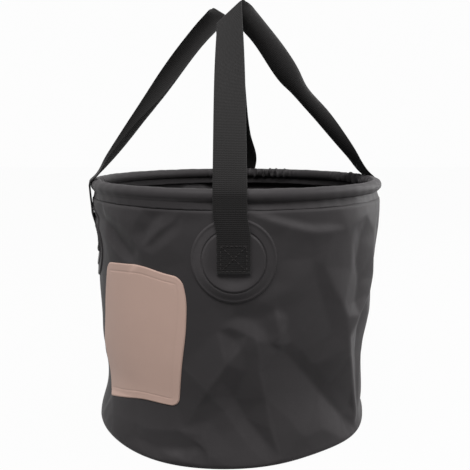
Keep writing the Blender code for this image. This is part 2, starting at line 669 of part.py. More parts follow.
class Handle:
    """One webbing handle: two legs that meet in a fold over a crease.

    Each leg is a cubic curve from the rim to the crease. Its width turns from along the rim to
    square to the leg in the crease's plane, and near the crease its ends are mitred to it.
    """

    def __init__(self, spec):
        self.turn = Matrix.Rotation(math.radians(spec["turn"]), 3, "Z")
        azimuths = [STRAP_AZIMUTHS[leg] - spec["turn"] for leg in spec["legs"]]
        self.crease = Vector(spec["crease_direction_shares"]).normalized()
        offset = Vector(spec["crease_offset_shares"]) * WEB_WIDTH
        top = UP * (RIM_HEIGHT + HANDLE_RISE) + offset
        starts = [outward(azimuth) * STRAP_AT_RIM + UP * RIM_HEIGHT for azimuth in azimuths]
        slant = (top - starts[0]).normalized().dot(self.crease)
        self.skew = slant / math.sqrt(1.0 - slant * slant)
        self.legs = []
        for index, (start, azimuth) in enumerate(zip(starts, azimuths)):
            flat = square_to(top - start, self.crease) * (1.0 if index == 0 else -1.0)
            travel = self.crease * slant + flat * math.sqrt(1.0 - slant * slant)
            wide = square_to(self.crease, travel)
            inner = travel.cross(wide)
            rim_wide = along_rim(azimuth)
            if rim_wide.dot(wide) < 0.0:
                rim_wide = -rim_wide
            self.legs.append(
                {
                    "start": start,
                    "travel": travel,
                    "wide": wide,
                    "inner": inner,
                    "rim_wide": rim_wide,
                    "twist": spec["twist_shares"][index],
                    "up": 1.0 if index == 0 else -1.0,
                }
            )
        self.fold_axis = top + self.legs[0]["inner"] * FOLD_RADIUS

    def section(self, leg, share):
        """The section of a leg at a share of its way from the rim to the crease."""
        crease_end = self.fold_axis - leg["inner"] * FOLD_RADIUS
        into_crease = leg["travel"] * leg["up"]
        points = (
            leg["start"],
            leg["start"] + UP * RIM_LEAD,
            crease_end - into_crease * CREASE_LEAD,
            crease_end,
        )
        place, way = bezier(points, share)
        travel = way * leg["up"]
        low, high = leg["twist"]
        blend = smoothstep(low, high, share)
        wide = square_to(leg["rim_wide"] * (1.0 - blend) + leg["wide"] * blend, travel)
        reach = (crease_end - place).length
        mitre = max(1.0 - reach / (2.0 * abs(self.skew) * HALF_WEB), 0.0)
        half = (wide + travel * self.skew * mitre) * HALF_WEB
        inner = travel.cross(wide).normalized()
        return place, half, (inner * (WEB / 2), inner * (-WEB / 2))

    def fold(self):
        """Sections round the crease, between the two legs."""
        first, second = (leg["inner"] for leg in self.legs)
        side = square_to(second, first)
        whole = first.angle(second)
        half = self.crease * HALF_WEB * math.sqrt(1.0 + self.skew**2)
        sections = []
        for angle in np.linspace(0.0, whole, FOLD_STEPS + 1)[1:-1]:
            inner = first * math.cos(angle) + side * math.sin(angle)
            centre = self.fold_axis - inner * FOLD_RADIUS
            sections.append((centre, half, (inner * (WEB / 2), inner * (-WEB / 2))))
        return sections

    def placed(self, sections):
        turn = self.turn
        return [(turn @ c, turn @ h, (turn @ i, turn @ o)) for c, h, (i, o) in sections]


def split_share(handle, leg, height):
    """The share of a leg's way at which its middle reaches a height."""
    low, high = 0.0, 1.0
    for _ in range(SPLIT_ROUNDS):
        middle = (low + high) / 2
        if handle.section(leg, middle)[0].z < height:
            low = middle
        else:
            high = middle
    return low


def hinge_height(spec):
    """The handle's hinge line lies high enough for the swinging webbing's corner to pass the rim."""
    first, second = (STRAP_AZIMUTHS[leg] for leg in spec["legs"])
    dip = HALF_WEB * math.sin(math.radians((second - first) / 2))
    return RIM_HEIGHT + CHANNEL_RADIUS + dip + WEB / 2 + HINGE_CLEARANCE


def make_handle(label, spec):
    """The handle above its hinge line, and the webbing at each foot that goes over the rim."""
    handle = Handle(spec)
    height = hinge_height(spec)
    rim_straps, feet, sections = [], [], []
    for index, leg in enumerate(handle.legs):
        cut = split_share(handle, leg, height)
        above = [handle.section(leg, share) for share in np.linspace(cut, 1.0, LEG_STEPS + 1)]
        sections += above if index == 0 else handle.fold() + above[::-1]
        below = split_share(handle, leg, height - FIT)
        shares = np.linspace(0.0, below, FOOT_STEPS + 1)
        feet.append([handle.section(leg, share) for share in shares])
    body = ribbon(f"handle_{label}", handle.placed(sections), WEBBING)
    ends = [handle.turn @ section[0] for section in (sections[0], sections[-1])]
    for place, leg, foot in zip(spec["legs"], handle.legs, feet):
        azimuth = STRAP_AZIMUTHS[place]
        out = outward(azimuth)
        across = along_rim(azimuth) * HALF_WEB * leg["up"]
        low = []
        for level in heights_between(HEM_END, RIM_HEIGHT, HEM_STEPS)[:-1]:
            centre = out * strap_radius(level) + UP * level
            low.append((centre, across, (out * (-WEB / 2), out * (WEB / 2))))
        rim_straps.append(ribbon(f"strap_rim_{place}", low + handle.placed(foot), WEBBING))
    return body, rim_straps, ends


def empty_at(name, place):
    empty = bpy.data.objects.new(name, None)
    empty.location = place
    parts.objects.link(empty)
    return empty


def hang_on(children, empty):
    """Parents objects to an empty and leaves them where they are."""
    bpy.context.view_layer.update()
    for child in children:
        child.parent = empty
        child.matrix_parent_inverse = empty.matrix_world.inverted()


for old in list(bpy.data.objects):
    bpy.data.objects.remove(old, do_unlink=True)
parts = collection_named("collapsible_camp_bucket")

make_side_wall()
make_base_panel()
make_label()
make_seam_tape()
rim_pieces = [make_rim_sleeve(), *make_hoop()]
for strap_place, strap_azimuth in STRAP_AZIMUTHS.items():
    make_patch(strap_place, strap_azimuth)
    make_strap_end(strap_place, strap_azimuth)
    make_box_seam(strap_place, strap_azimuth)

rim_origin = empty_at("rim_slide", (0.0, 0.0, RIM_HEIGHT))
for handle_label, handle_spec in HANDLES.items():
    handle_body, rim_straps, hinge_ends = make_handle(handle_label, handle_spec)
    rim_pieces += rim_straps
    hinge = empty_at(f"handle_{handle_label}_hinge", (hinge_ends[0] + hinge_ends[1]) / 2)
    hang_on([handle_body], hinge)
    hang_on([hinge], rim_origin)
hang_on(rim_pieces, rim_origin)
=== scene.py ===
"""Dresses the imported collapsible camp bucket: creased wall, rim sleeve, patches, label and webbing."""

import math
from functools import partial

import bpy
import numpy as np
from bpy.props import FloatProperty, FloatVectorProperty, PointerProperty
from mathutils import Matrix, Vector
from mathutils.geometry import delaunay_2d_cdt


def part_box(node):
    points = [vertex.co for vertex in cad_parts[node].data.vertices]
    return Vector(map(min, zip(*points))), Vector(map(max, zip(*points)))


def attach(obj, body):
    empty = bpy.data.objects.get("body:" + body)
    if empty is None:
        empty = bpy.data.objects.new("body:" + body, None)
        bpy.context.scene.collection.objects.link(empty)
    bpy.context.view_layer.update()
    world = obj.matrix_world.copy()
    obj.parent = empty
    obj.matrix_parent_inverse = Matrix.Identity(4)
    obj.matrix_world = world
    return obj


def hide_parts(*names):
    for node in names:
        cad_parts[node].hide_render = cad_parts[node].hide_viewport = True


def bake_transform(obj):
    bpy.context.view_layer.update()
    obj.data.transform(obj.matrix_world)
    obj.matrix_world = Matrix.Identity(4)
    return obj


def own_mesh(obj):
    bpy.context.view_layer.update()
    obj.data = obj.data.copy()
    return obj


bl_info = {
    "name": "Collapsible camp bucket",
    "version": (1, 0, 0),
    "blender": (4, 5, 0),
    "location": "View3D > Sidebar > Bucket",
    "description": "Makes a soft folding bucket with a hooped rim and webbing handles",
    "category": "Add Mesh",
}

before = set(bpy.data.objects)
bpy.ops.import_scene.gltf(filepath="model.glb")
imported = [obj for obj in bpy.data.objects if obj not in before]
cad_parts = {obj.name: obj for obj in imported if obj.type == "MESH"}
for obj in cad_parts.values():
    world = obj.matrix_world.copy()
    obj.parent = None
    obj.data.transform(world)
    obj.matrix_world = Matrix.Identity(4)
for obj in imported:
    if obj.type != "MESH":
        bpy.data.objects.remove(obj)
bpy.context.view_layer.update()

MM = 0.001

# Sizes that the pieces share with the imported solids
FIT = 0.3 * MM
FABRIC = 0.8 * MM
CHANNEL_RADIUS = 5.0 * MM
RIM_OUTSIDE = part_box("rim_sleeve")[1][0]
RIM_RADIUS = RIM_OUTSIDE - CHANNEL_RADIUS
RIM_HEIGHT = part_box("rim_sleeve")[1][2] - CHANNEL_RADIUS
HEM_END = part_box("rim_sleeve")[0][2]
WALL_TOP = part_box("side_wall")[1][2]
NECK_RADIUS = RIM_RADIUS + FABRIC / 2
BULGE_HEIGHT = RIM_HEIGHT - 12.3 * MM
CORNER_RADIUS = 4.0 * MM
FOOT_RADIUS = NECK_RADIUS - 1.2 * MM
CORNER_CENTRE = FOOT_RADIUS - CORNER_RADIUS - FIT - FABRIC
PATCH_HEIGHT = RIM_HEIGHT - 48.0 * MM
PATCH_RADIUS = 32.5 * MM
DISC_RADIUS = 23.5 * MM
DISC_THICKNESS = 1.6 * MM
WEB_WIDTH = 25.0 * MM
HALF_WEB = WEB_WIDTH / 2
WEB = 1.4 * MM
STRAP_AT_RIM = RIM_OUTSIDE + FIT + WEB / 2
STRAP_END = PATCH_HEIGHT - 9.4 * MM
SEAM_AZIMUTH = 140.0
STRAP_AZIMUTHS = {"front": -2.0, "right": 102.0, "back": 178.0, "left": 282.0}
# The front end is sewn on a little aside of where its webbing crosses the rim
SEWN_AZIMUTHS = STRAP_AZIMUTHS | {"front": -0.8}

# The wall's outer radius at heights from its foot to the bulge, both in millimetres
PROFILE_MM = (
    (4.0, 124.2), (20.0, 121.6), (35.0, 119.8), (52.0, 119.2), (68.0, 120.5), (87.0, 122.2),
    (110.0, 124.0), (133.0, 125.4), (156.0, 126.9), (179.0, 128.3), (194.0, 129.0), (200.5, 129.0),
)

# The wall starts to swell this far above the hem's edge, which flares over it
HEM_SOFT = 2.0 * MM
HEM_FLARE = 1.9 * MM

# The crease's height over the hoop and its radius, how far the webbing's curve is led upright from
# the rim and straight into the crease, the second legs' sag, and the hinge's room over the rim
HANDLE_RISE = 147.0 * MM
FOLD_RADIUS = 2.2 * MM
RIM_LEAD = 22.0 * MM
CREASE_LEAD = 12.0 * MM
LEG_SAG = 6.5 * MM

# Each handle's crease, the share of the way over which each leg twists, and the webbing's curl in
# radians and lean in half widths, both as (share of the way, value). The shares of curl and lean run
# from the crease to the second leg's rim, and those of first_lean from the first hem to the crease.
HANDLES = {
    "a": {
        "legs": ("front", "right"),
        "turn": 0.0,
        "crease_offset_shares": (-0.23, -0.44, 0.0),
        "crease_direction_shares": (0.746, -0.033, 0.666),
        "twist_shares": ((0.35, 0.95), (0.05, 0.75)),
        "curl": (
            (0.0, 0.0), (0.04, 0.9), (0.12, 1.16), (0.38, 1.1), (0.47, 1.75), (0.62, 1.6), (0.8, 1.0),
            (0.95, 0.0), (1.0, 0.0),
        ),
        "lean": (
            (0.0, 0.12), (0.04, 0.45), (0.12, 0.45), (0.38, 0.22), (0.47, 0.1), (0.62, 0.1), (0.95, 0.0),
            (1.0, 0.0),
        ),
        "first_lean": ((0.0, 0.0), (1.0, 0.0)),
    },
    "b": {
        "legs": ("back", "left"),
        "turn": 180.0,
        "crease_offset_shares": (0.34, -0.26, -0.04),
        "crease_direction_shares": (0.826, -0.214, 0.522),
        "twist_shares": ((0.35, 0.95), (0.0, 0.95)),
        "curl": (
            (0.0, 0.0), (0.05, 1.2), (0.12, 1.4), (0.5, 1.2), (0.7, 1.3), (0.85, 0.8), (0.95, 0.0),
            (1.0, 0.0),
        ),
        "lean": (
            (0.0, 0.0), (0.05, 0.2), (0.12, 0.26), (0.5, 0.22), (0.7, 0.2), (0.95, 0.0), (1.0, 0.0),
        ),
        "first_lean": ((0.0, 0.0), (0.12, -0.5), (0.3, -0.12), (0.7, 0.0), (1.0, 0.0)),
    },
}

# Folds of the wall: lines of (azimuth in degrees, height in mm, offset out of the wall in mm)
CRISP_FOLDS = (
    # The star in the middle of the front, and the ridge that leaves it towards the label's foot
    ((-3.2, 120.2, -0.6), (0.3, 123, -1.5), (3.7, 122.1, -1.5), (7.2, 117.9, -0.4)),
    ((-2.5, 116, 0.4), (0.6, 114, 1.2), (3.7, 111, 2.2), (6.9, 107.5, 3.2)),
    ((-6.5, 113, 0), (-4.6, 111, -0.6), (-1.8, 107.1, -1.3), (0, 104.5, -0.4)),
    ((1.8, 100.5, 1.8), (-3.3, 87.5, 4), (-10.3, 66, 5.6), (-15.3, 48.1, 3.2), (-19.3, 32.2, 1.2)),
    ((4.6, 99, 2.4), (3.6, 80.8, 0.8)),
    ((-4.9, 71.1, 1.6), (-0.8, 56.8, -2.6), (3.5, 40.4, -3.8), (9.8, 23.8, -3.2), (13.2, 7.5, -0.7)),
    ((-8.6, 58, 3), (-4.2, 48, 0), (-0.2, 33.5, -1.2), (5.2, 18.5, -1.3), (9.6, 8.5, -0.3)),
    ((-9.9, 38.5, 0.6), (-5.3, 25.4, -0.8), (0.7, 13.5, -0.8)),
    # The long ridges and the broad valley low on the right, and the small folds over them
    (
        (7.2, 106, 3.6), (8.5, 92, 2.8), (8.6, 80.4, 2.6), (11, 58.1, 2.4), (13.2, 32.3, 1.6),
        (16.6, 8, 0.4),
    ),
    (
        (14.8, 97, 1), (17.8, 93.6, -1.6), (25.4, 76.3, -5.4), (36.8, 51.4, -7.4), (49.5, 24.8, -5.4),
        (57.4, 8.2, -0.4),
    ),
    ((20.5, 101, -0.4), (25, 93, -1.4), (31.4, 79, -2.2), (42.5, 56.5, -2.4), (55.5, 29.6, -1)),
    ((13.8, 131, 1), (14.6, 122, 3), (15.6, 110, 3.8), (15.2, 101.5, 3)),
    ((10.2, 120.5, -0.4), (10.9, 110.5, 0.2), (11.6, 102.5, 1.6)),
    ((18.6, 122, -0.2), (19, 110.5, -0.4)),
    # Calm lines that carry the label
    ((-18.8, 153, 0.4), (-17.4, 138, 0.7), (-17.6, 117, 0.9), (-19.9, 82, 1.2), (-22, 47, 1)),
    ((-28, 152, 0.3), (-27, 117, 0.6), (-29, 82, 0.8), (-31, 50, 0.6)),
    ((-42, 150, 0), (-44, 112, 0.3), (-46, 75, 0.4), (-44, 44, 0.2)),
    ((-58, 148, 0), (-64, 110, 0), (-68, 72, 0), (-64, 38, 0)),
    # The foot on the right
    ((22, 34, 0), (27, 20, 0.4), (31, 9, 0.2)),
    ((36, 22, -0.6), (43, 13, 0), (47, 7, 0)),
    # The streak on the right and the folds that meet it
    (
        (30.2, 172.2, 1.4), (32.4, 159.9, 2.4), (35.8, 144.9, 3.2), (41.5, 126.5, 4.4),
        (44.4, 114.9, 4.6), (46, 98, 6), (46.9, 90.1, 6.4), (48.1, 80.7, 6.2), (54.5, 52, 4.6),
        (58.8, 17.7, 1.8), (59.5, 8, 0.2),
    ),
    ((27, 166, -0.2), (29.5, 148, -0.4), (33.5, 128, -0.4), (38, 104, 0.4)),
    ((50.4, 92, 2.6), (51.8, 78, 2.4), (57.6, 50, 1.4), (61.4, 22, 0.4)),
    (
        (66, 192, 0.8), (63, 178.7, 2), (63, 162.4, 2.8), (64.3, 140.2, 3.8), (60.5, 126.4, 4.8),
        (52, 112, 5.6), (46, 98, 6),
    ),
    ((51, 176, -0.6), (50, 158, -1), (53, 140, -1.2), (51, 124, 0.2)),
    ((71, 152, -1), (70, 127, -2.4), (64, 110, -2.8)),
    ((58, 110, -2), (61, 93.4, -3.6), (62.5, 74, -3.2), (63.5, 58, -1.6)),
    ((70, 104, 0.8), (72, 85, 1.8), (71, 66, 1)),
    # The shoulder under the rim on the right
    (
        (4.8, 202.2, 0.4), (11.4, 197.8, 1.8), (17.9, 192.7, 2.6), (24.4, 188.6, 3), (29.4, 187, 3),
        (34.9, 186.8, 2.8), (41.5, 188.5, 2.6), (46, 192, 2.2), (53.5, 195.5, 1.6), (64, 198, 0.6),
    ),
    ((8, 203, -0.5), (13, 200.4, -0.7), (19, 196.4, -0.5), (26, 193, 0.2), (34, 192, 0.4)),
    ((46, 189, 2), (45, 176.5, 1.8), (46.5, 152, 1.2)),
    # The crease over the label, and the folds between it and the front patch
    (
        (-78, 188, -0.3), (-57.5, 188.5, -2.8), (-51, 181, -4), (-46, 172, -4.2), (-41, 165, -3.2),
        (-38.3, 161, -1.2),
    ),
    ((-66, 182, 1), (-56, 177, 1.2), (-50, 168, 0.8), (-46.5, 162.5, 0.2)),
    ((-56, 156.8, 0), (-48, 158.8, 0), (-42, 159.6, 0)),
    ((-35, 160.2, 0.2), (-26, 157.4, 0.3)),
    ((-56, 199.5, 0.8), (-46, 193.5, 1.4), (-40, 184, 1.4), (-35.6, 173.5, 0.9)),
    ((-25.6, 201, -0.8), (-30.2, 194, -2.4), (-33.4, 185, -2.6), (-33.8, 179.4, -1.2)),
    ((-34.5, 201.5, 0.4), (-37, 194, 0.8), (-38.4, 186, 0.9), (-38.2, 182, 0.9)),
    ((-31.8, 178, 0.6), (-27, 188, 1.5), (-22.4, 195, 1)),
    ((-30.5, 176, -0.8), (-25.6, 184.6, -0.8), (-20.9, 192, -0.5)),
    ((-29.5, 170, 0.8), (-24, 179.5, 1.2), (-19, 188, 0.6)),
    # The foot under the label
    ((-62.3, 33, 1.8), (-58, 22, 2.2), (-55.5, 13.7, 1.6), (-55.3, 5, 0.4)),
    ((-42, 24.5, 1), (-36, 24, 1.8), (-21.7, 29.1, 2.2), (-11.7, 27.5, 1.6)),
    ((-40.3, 13, -1), (-30, 10.5, -2.2), (-20, 13.5, -2.2), (-13.5, 16.5, -1)),
    ((-17, 24.5, 1.4), (-13, 20, 1.6), (-9.6, 12.5, 1)),
    ((-22.5, 9, 0.6), (-17.5, 6.5, 0.6)),
    # The right side and the back, which the photo doesn't show
    ((96, 118, 1), (90, 96, 3.2), (87, 72, 2), (90, 44, -2.2), (86, 18, -0.4)),
    ((118, 126, -0.8), (112, 100, -3.2), (116, 70, 0.6), (122, 44, 3.4), (119, 16, 0.4)),
    ((128, 150, 0.4), (131, 122, 3), (126, 92, 3.8), (131, 60, -0.6), (134, 28, 0.6)),
    ((146, 60, -2), (156, 84, -3.4), (164, 108, 0.4), (173, 121, 3), (180, 116, 1.6)),
    ((180, 116, 1.6), (176, 88, 4), (171, 60, 3.6), (168, 32, 1.6), (166, 10, 0.2)),
    ((180, 112, -1.4), (187, 92, -3.6), (196, 66, -4.2), (209, 38, -3.2), (220, 12, -0.2)),
    ((198, 112, 2.4), (207, 84, 3.4), (219, 60, 3), (228, 36, 1.8), (232, 12, 0.2)),
    ((204, 168, 0.8), (209, 148, 3), (206, 128, 1.6), (216, 112, -2), (230, 92, -3.2), (238, 70, -1.2)),
    ((236, 150, 1.2), (244, 128, 3.6), (241, 104, 4), (247, 76, 0.8), (252, 40, 2.6), (250, 14, 0.2)),
    ((258, 100, -2.6), (264, 72, -3.2), (262, 44, 0.2), (268, 20, 0.4)),
    # A dent in the back that is seen from inside
    ((192, 197, -0.4), (197, 195.5, -7.5), (206, 195.5, -7.5), (212, 197, -0.4)),
)
SOFT_FOLDS = (
    ((14, 184, -0.6), (24, 179, -1.4), (36, 178, -1.2), (44, 182, -0.4)),
    ((-26, 197.5, -1.4), (-19, 196.5, -2.4), (-12, 196.5, -2), (-7, 198, -0.6)),
    ((3.4, 130.7, 0.4), (11.6, 139.5, 1.3), (22.4, 148.8, 1.8)),
    ((2.5, 124.5, -0.5), (7.5, 125.2, -1.1), (13.5, 129, -1), (22, 136.2, -0.4)),
    ((62, 14, -1.2), (72, 13, -2.8), (84, 13, -2.8), (96, 14, -1.4)),
    ((66, 28, -0.6), (78, 30, -2), (90, 28, -1)),
    ((116, 200, -0.8), (124, 192, -2.4), (133, 187, -2.6), (143, 193, -1.2), (152, 200, -0.2)),
    ((114, 190, 1), (125, 181, 2.6), (136, 178, 2.4), (148, 184, 1.8), (158, 192, 0.6)),
    ((196, 198, 1), (207, 191, 2.6), (220, 187, 2.8), (232, 190, 1.8), (244, 197, 0.4)),
    ((200, 203, -0.4), (212, 198, -1.4), (226, 197, -1.6), (240, 201, -0.6)),
    ((254, 190, -1.8), (262, 199, -0.6)),
    ((220, 168, -0.6), (226, 150, -1.8), (222, 132, -0.8)),
    ((150, 160, -0.6), (152, 140, -1.8), (148, 122, -0.6)),
)

# Broad swellings: (azimuth and its spread in degrees, height and its spread in mm, offset in mm)
SWELLINGS = (
    (-78, 14, 168, 22, -5.8), (-80, 16, 78, 20, 2.6), (-74, 30, 8, 16, 3.6), (-28, 24, 2, 20, 4.4),
    (78, 16, 76, 26, -4.0), (80, 18, 6, 14, -4.2), (34, 20, 2, 18, -4.4),
)

# Soft and crisp folds are rounded by this many smoothing rounds on a 1 mm grid
CRISP_ROUNDS = 2
SOFT_ROUNDS = 34
GRID_STEP = 1.0 * MM
GRID_AZIMUTHS = 720
GRID_LOW = -2.0 * MM
GRID_HIGH = 212.0 * MM

# The sheet is calm at the hem, at the foot and round the patches, where these points hold it down
CALM_HEIGHTS = (GRID_LOW, 3.0 * MM, HEM_END, GRID_HIGH)
CALM_AZIMUTHS = range(-90, 270, 8)
CALM_RINGS = (PATCH_RADIUS * 1.04, PATCH_RADIUS * 0.6)

# Copies of the sheet a turn to the left and right are used between these azimuths, so that it joins up
COPIES_FROM, COPIES_TO = -200.0, 470.0

# A fold's bend from one grid point to the next at which its ridge is fully scuffed
SCUFFED_BEND = 0.25 * MM

WHITE = (1.0, 1.0, 1.0, 1.0)


def linear(code):
    """An sRGB hex colour as linear red, green and blue."""
    parts = [int(code[i:i + 2], 16) / 255 for i in (1, 3, 5)]
    return tuple(c / 12.92 if c <= 0.04045 else ((c + 0.055) / 1.055) ** 2.4 for c in parts)


def length_property(name, description, default):
    """A length in metres for the panel."""
    return FloatProperty(
        name=name, description=description, default=default, min=0.0, unit="LENGTH", subtype="DISTANCE",
    )


def colour_property(name, description, code):
    """A colour for the panel, written as sRGB hex and kept as linear."""
    return FloatVectorProperty(
        name=name, description=description, size=3, min=0.0, max=1.0, default=linear(code), subtype="COLOR",
    )


def power_property(name, description, default):
    """A lamp's power in watts for the panel."""
    return FloatProperty(name=name, description=description, default=default, min=0.0, unit="POWER")


class BucketSizes(bpy.types.PropertyGroup):
    """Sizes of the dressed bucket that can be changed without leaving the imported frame."""

    fabric: length_property("Fabric", "Thickness of the coated fabric", FABRIC)
    pucker: length_property("Pucker depth", "How far the rim sleeve's gathers stand out", 2.4 * MM)
    pucker_pitch: length_property("Pucker pitch", "Distance between the rim sleeve's gathers", 9.0 * MM)
    label_width: length_property("Label width", "Width of the label before it bends", 96.0 * MM)
    label_height: length_property("Label height", "Height of the label", 116.0 * MM)
    label_corner: length_property("Label corner", "Radius of the label's corners", 7.0 * MM)
    label_thickness: length_property("Label thickness", "Thickness of the label film", 0.9 * MM)
    border_inset: length_property("Border inset", "From the label's edge to its embossed line", 6.6 * MM)
    border_depth: length_property("Border depth", "Depth of the label's embossed line", 0.2 * MM)
    weave_pitch: length_property("Rib pitch", "Distance between the webbing's cross ribs", 1.5 * MM)
    stitch: length_property("Stitch length", "Length of one stitch of the box seam", 2.9 * MM)
    thread: length_property("Thread", "Diameter of the sewing thread", 0.8 * MM)
    tape_width: length_property("Seam tape width", "Width of the tape over the upright seam", 18.0 * MM)
    fold_strength: FloatProperty(
        name="Folds", description="How strongly the wall is creased", default=1.0, min=0.0, max=2.0,
        subtype="FACTOR",
    )


class BucketColours(bpy.types.PropertyGroup):
    """Colours of the dressed bucket."""

    wall: colour_property("Wall", "Coated fabric of wall, base and rim sleeve", "#373536")
    webbing: colour_property("Webbing", "Handles and their sewn ends", "#1D1C1C")
    label: colour_property("Label", "Label film", "#BA9E92")
    tape: colour_property("Seam tape", "Welded tape over the upright seam", "#2A2829")
    thread: colour_property("Thread", "Thread of the box seams", "#282626")
    hoop: colour_property("Hoop", "Plastic tube inside the rim", "#2B2B2B")
    floor: colour_property("Floor", "Paper floor where light falls on it", "#8C8C8C")


class StudioSettings(bpy.types.PropertyGroup):
    """Lamps, backdrop and camera."""

    key: power_property("Key", "Long soft lamp high at the front", 30.0)
    fill: power_property("Fill", "Soft lamp on the right", 10.5)
    edge: power_property("Edge", "Tall lamp behind the right side, and at a sixth behind the left", 11.0)
    top: power_property("Top", "Soft lamp overhead", 6.0)
    around: FloatProperty(name="Around", description="Light from all round", default=0.06, min=0.0)
    focal: FloatProperty(
        name="Focal length", description="Focal length in millimetres", default=50.02, min=1.0,
        unit="CAMERA",
    )
    camera_distance: length_property(
        "Camera distance", "Distance from the bucket's axis to the camera", 598.0 * MM,
    )
    camera_height: length_property("Camera height", "Height of the camera above the floor", 262.7 * MM)
    camera_tilt: FloatProperty(
        name="Tilt", description="How far the camera looks down", default=math.radians(9.2),
        subtype="ANGLE", unit="ROTATION",
    )


def smoothstep(low, high, value):
    """0 below low, 1 above high, and the cubic 3t^2 - 2t^3 between."""
    share = np.clip((value - low) / (high - low), 0.0, 1.0)
    return share * share * (3.0 - 2.0 * share)


def bell(value, middle, width, power=2):
    """1 at the middle, and exp(-t^power) at t widths from it; the power is even."""
    return np.exp(-(((value - middle) / width) ** power))


def turn_from(middle, azimuth):
    """The turn in degrees from a middle to an azimuth, the shorter way round."""
    return (azimuth - middle + 180.0) % 360.0 - 180.0


def through(stations, values, at):
    """A smooth curve through stations: cubic pieces whose slopes are those of the neighbouring stations."""
    stations, values = np.asarray(stations, float), np.asarray(values, float)
    slopes = np.gradient(values, stations)
    piece = np.clip(np.searchsorted(stations, at, side="right") - 1, 0, len(stations) - 2)
    width = stations[piece + 1] - stations[piece]
    t = np.clip((at - stations[piece]) / width, 0.0, 1.0)
    rise = t * t * (3.0 - 2.0 * t)
    start = t * (1.0 - t) ** 2 * width
    end = -t * t * (1.0 - t) * width
    level = values[piece] * (1.0 - rise) + values[piece + 1] * rise
    return level + slopes[piece] * start + slopes[piece + 1] * end


def outward(azimuth):
    """Unit vectors away from the axis: an azimuth of 0 points to -Y and 90 degrees to +X."""
    angle = np.radians(np.asarray(azimuth, float))
    return np.stack([np.sin(angle), -np.cos(angle), np.zeros_like(angle)], axis=-1)


def along_rim(azimuth):
    """Unit vectors along the rim, towards growing azimuth."""
    angle = np.radians(np.asarray(azimuth, float))
    return np.stack([np.cos(angle), np.sin(angle), np.zeros_like(angle)], axis=-1)


def upward(height):
    """A vector straight up."""
    return np.array([0.0, 0.0, height])


def unit(vectors):
    """Vectors divided by their lengths."""
    return vectors / np.linalg.norm(vectors, axis=-1, keepdims=True)


def running_length(points):
    """Distances along a line of points, from 0."""
    steps = np.linalg.norm(np.diff(points, axis=0), axis=-1)
    return np.concatenate([[0.0], np.cumsum(steps)])


def ring_azimuths(count):
    """Azimuths of a ring's points in degrees."""
    return np.arange(count) * 360.0 / count


def round_the_rim(count):
    """Distances along the rim from one point of a ring to the next, all the way round, for a UV map."""
    return np.radians(np.arange(count + 1) * 360.0 / count) * RIM_RADIUS


def calm_points(to_arc):
    """Single points without an offset that keep the folds off the hem, the foot and the patches."""
    points = [(float(azimuth), row) for row in CALM_HEIGHTS for azimuth in CALM_AZIMUTHS]
    for middle in SEWN_AZIMUTHS.values():
        for reach in CALM_RINGS:
            for t in np.radians(np.arange(0, 360, 30)):
                turn = math.cos(t) * reach / to_arc
                points.append((middle + turn, PATCH_HEIGHT + math.sin(t) * reach))
    return [[(azimuth, height, 0.0)] for azimuth, height in points]


def fold_field(folds, rounds):
    """Offsets of the wall on a grid of azimuth and height.

    The fold lines are the edges of a triangulated sheet, with the calm points among its corners.
    Between its corners the sheet is flat, and then the whole grid is averaged with its neighbours
    (1, 2, 1) a number of times, which rounds the edges.
    """
    to_arc = math.radians(1.0) * RIM_RADIUS
    lines = [[(a, h * MM, o * MM) for a, h, o in fold] for fold in folds] + calm_points(to_arc)
    places, offsets, edges = [], [], []
    for turn in (-360.0, 0.0, 360.0):
        for line in lines:
            if COPIES_FROM < line[0][0] + turn < COPIES_TO:
                first = len(places)
                places += [Vector(((a + turn) * to_arc, h)) for a, h, _ in line]
                offsets += [o for _, _, o in line]
                edges += [(first + i, first + i + 1) for i in range(len(line) - 1)]
    corners, _, triangles, sources, _, _ = delaunay_2d_cdt(places, edges, [], 0, 0.01 * MM)
    known = np.array([offsets[source[0]] if source else 0.0 for source in sources])
    spots = np.array([tuple(corner) for corner in corners])
    across = ring_azimuths(GRID_AZIMUTHS) * to_arc
    up = np.arange(GRID_LOW, GRID_HIGH + GRID_STEP / 2, GRID_STEP)
    field = np.zeros((GRID_AZIMUTHS, len(up)))
    for triangle in triangles:
        a, b, c = spots[list(triangle)]
        i0, i1 = np.searchsorted(across, [min(a[0], b[0], c[0]), max(a[0], b[0], c[0])])
        j0, j1 = np.searchsorted(up, [min(a[1], b[1], c[1]), max(a[1], b[1], c[1])])
        area = (b[0] - a[0]) * (c[1] - a[1]) - (c[0] - a[0]) * (b[1] - a[1])
        if i1 <= i0 or abs(area) < 1e-12:
            continue
        x, y = np.meshgrid(across[i0:i1], up[j0:j1 + 1], indexing="ij")
        share_b = ((x - a[0]) * (c[1] - a[1]) - (c[0] - a[0]) * (y - a[1])) / area
        share_c = ((b[0] - a[0]) * (y - a[1]) - (x - a[0]) * (b[1] - a[1])) / area
        inside = (share_b > -1e-6) & (share_c > -1e-6) & (share_b + share_c < 1.0 + 1e-6)
        values = known[list(triangle)]
        height = values[0] + (values[1] - values[0]) * share_b + (values[2] - values[0]) * share_c
        field[i0:i1, j0:j1 + 1][inside] = height[inside]
    for _ in range(rounds):
        field = (np.roll(field, 1, axis=0) + 2.0 * field + np.roll(field, -1, axis=0)) / 4
        padded = np.pad(field, ((0, 0), (1, 1)), mode="edge")
        field = (padded[:, :-2] + 2.0 * field + padded[:, 2:]) / 4
    return field


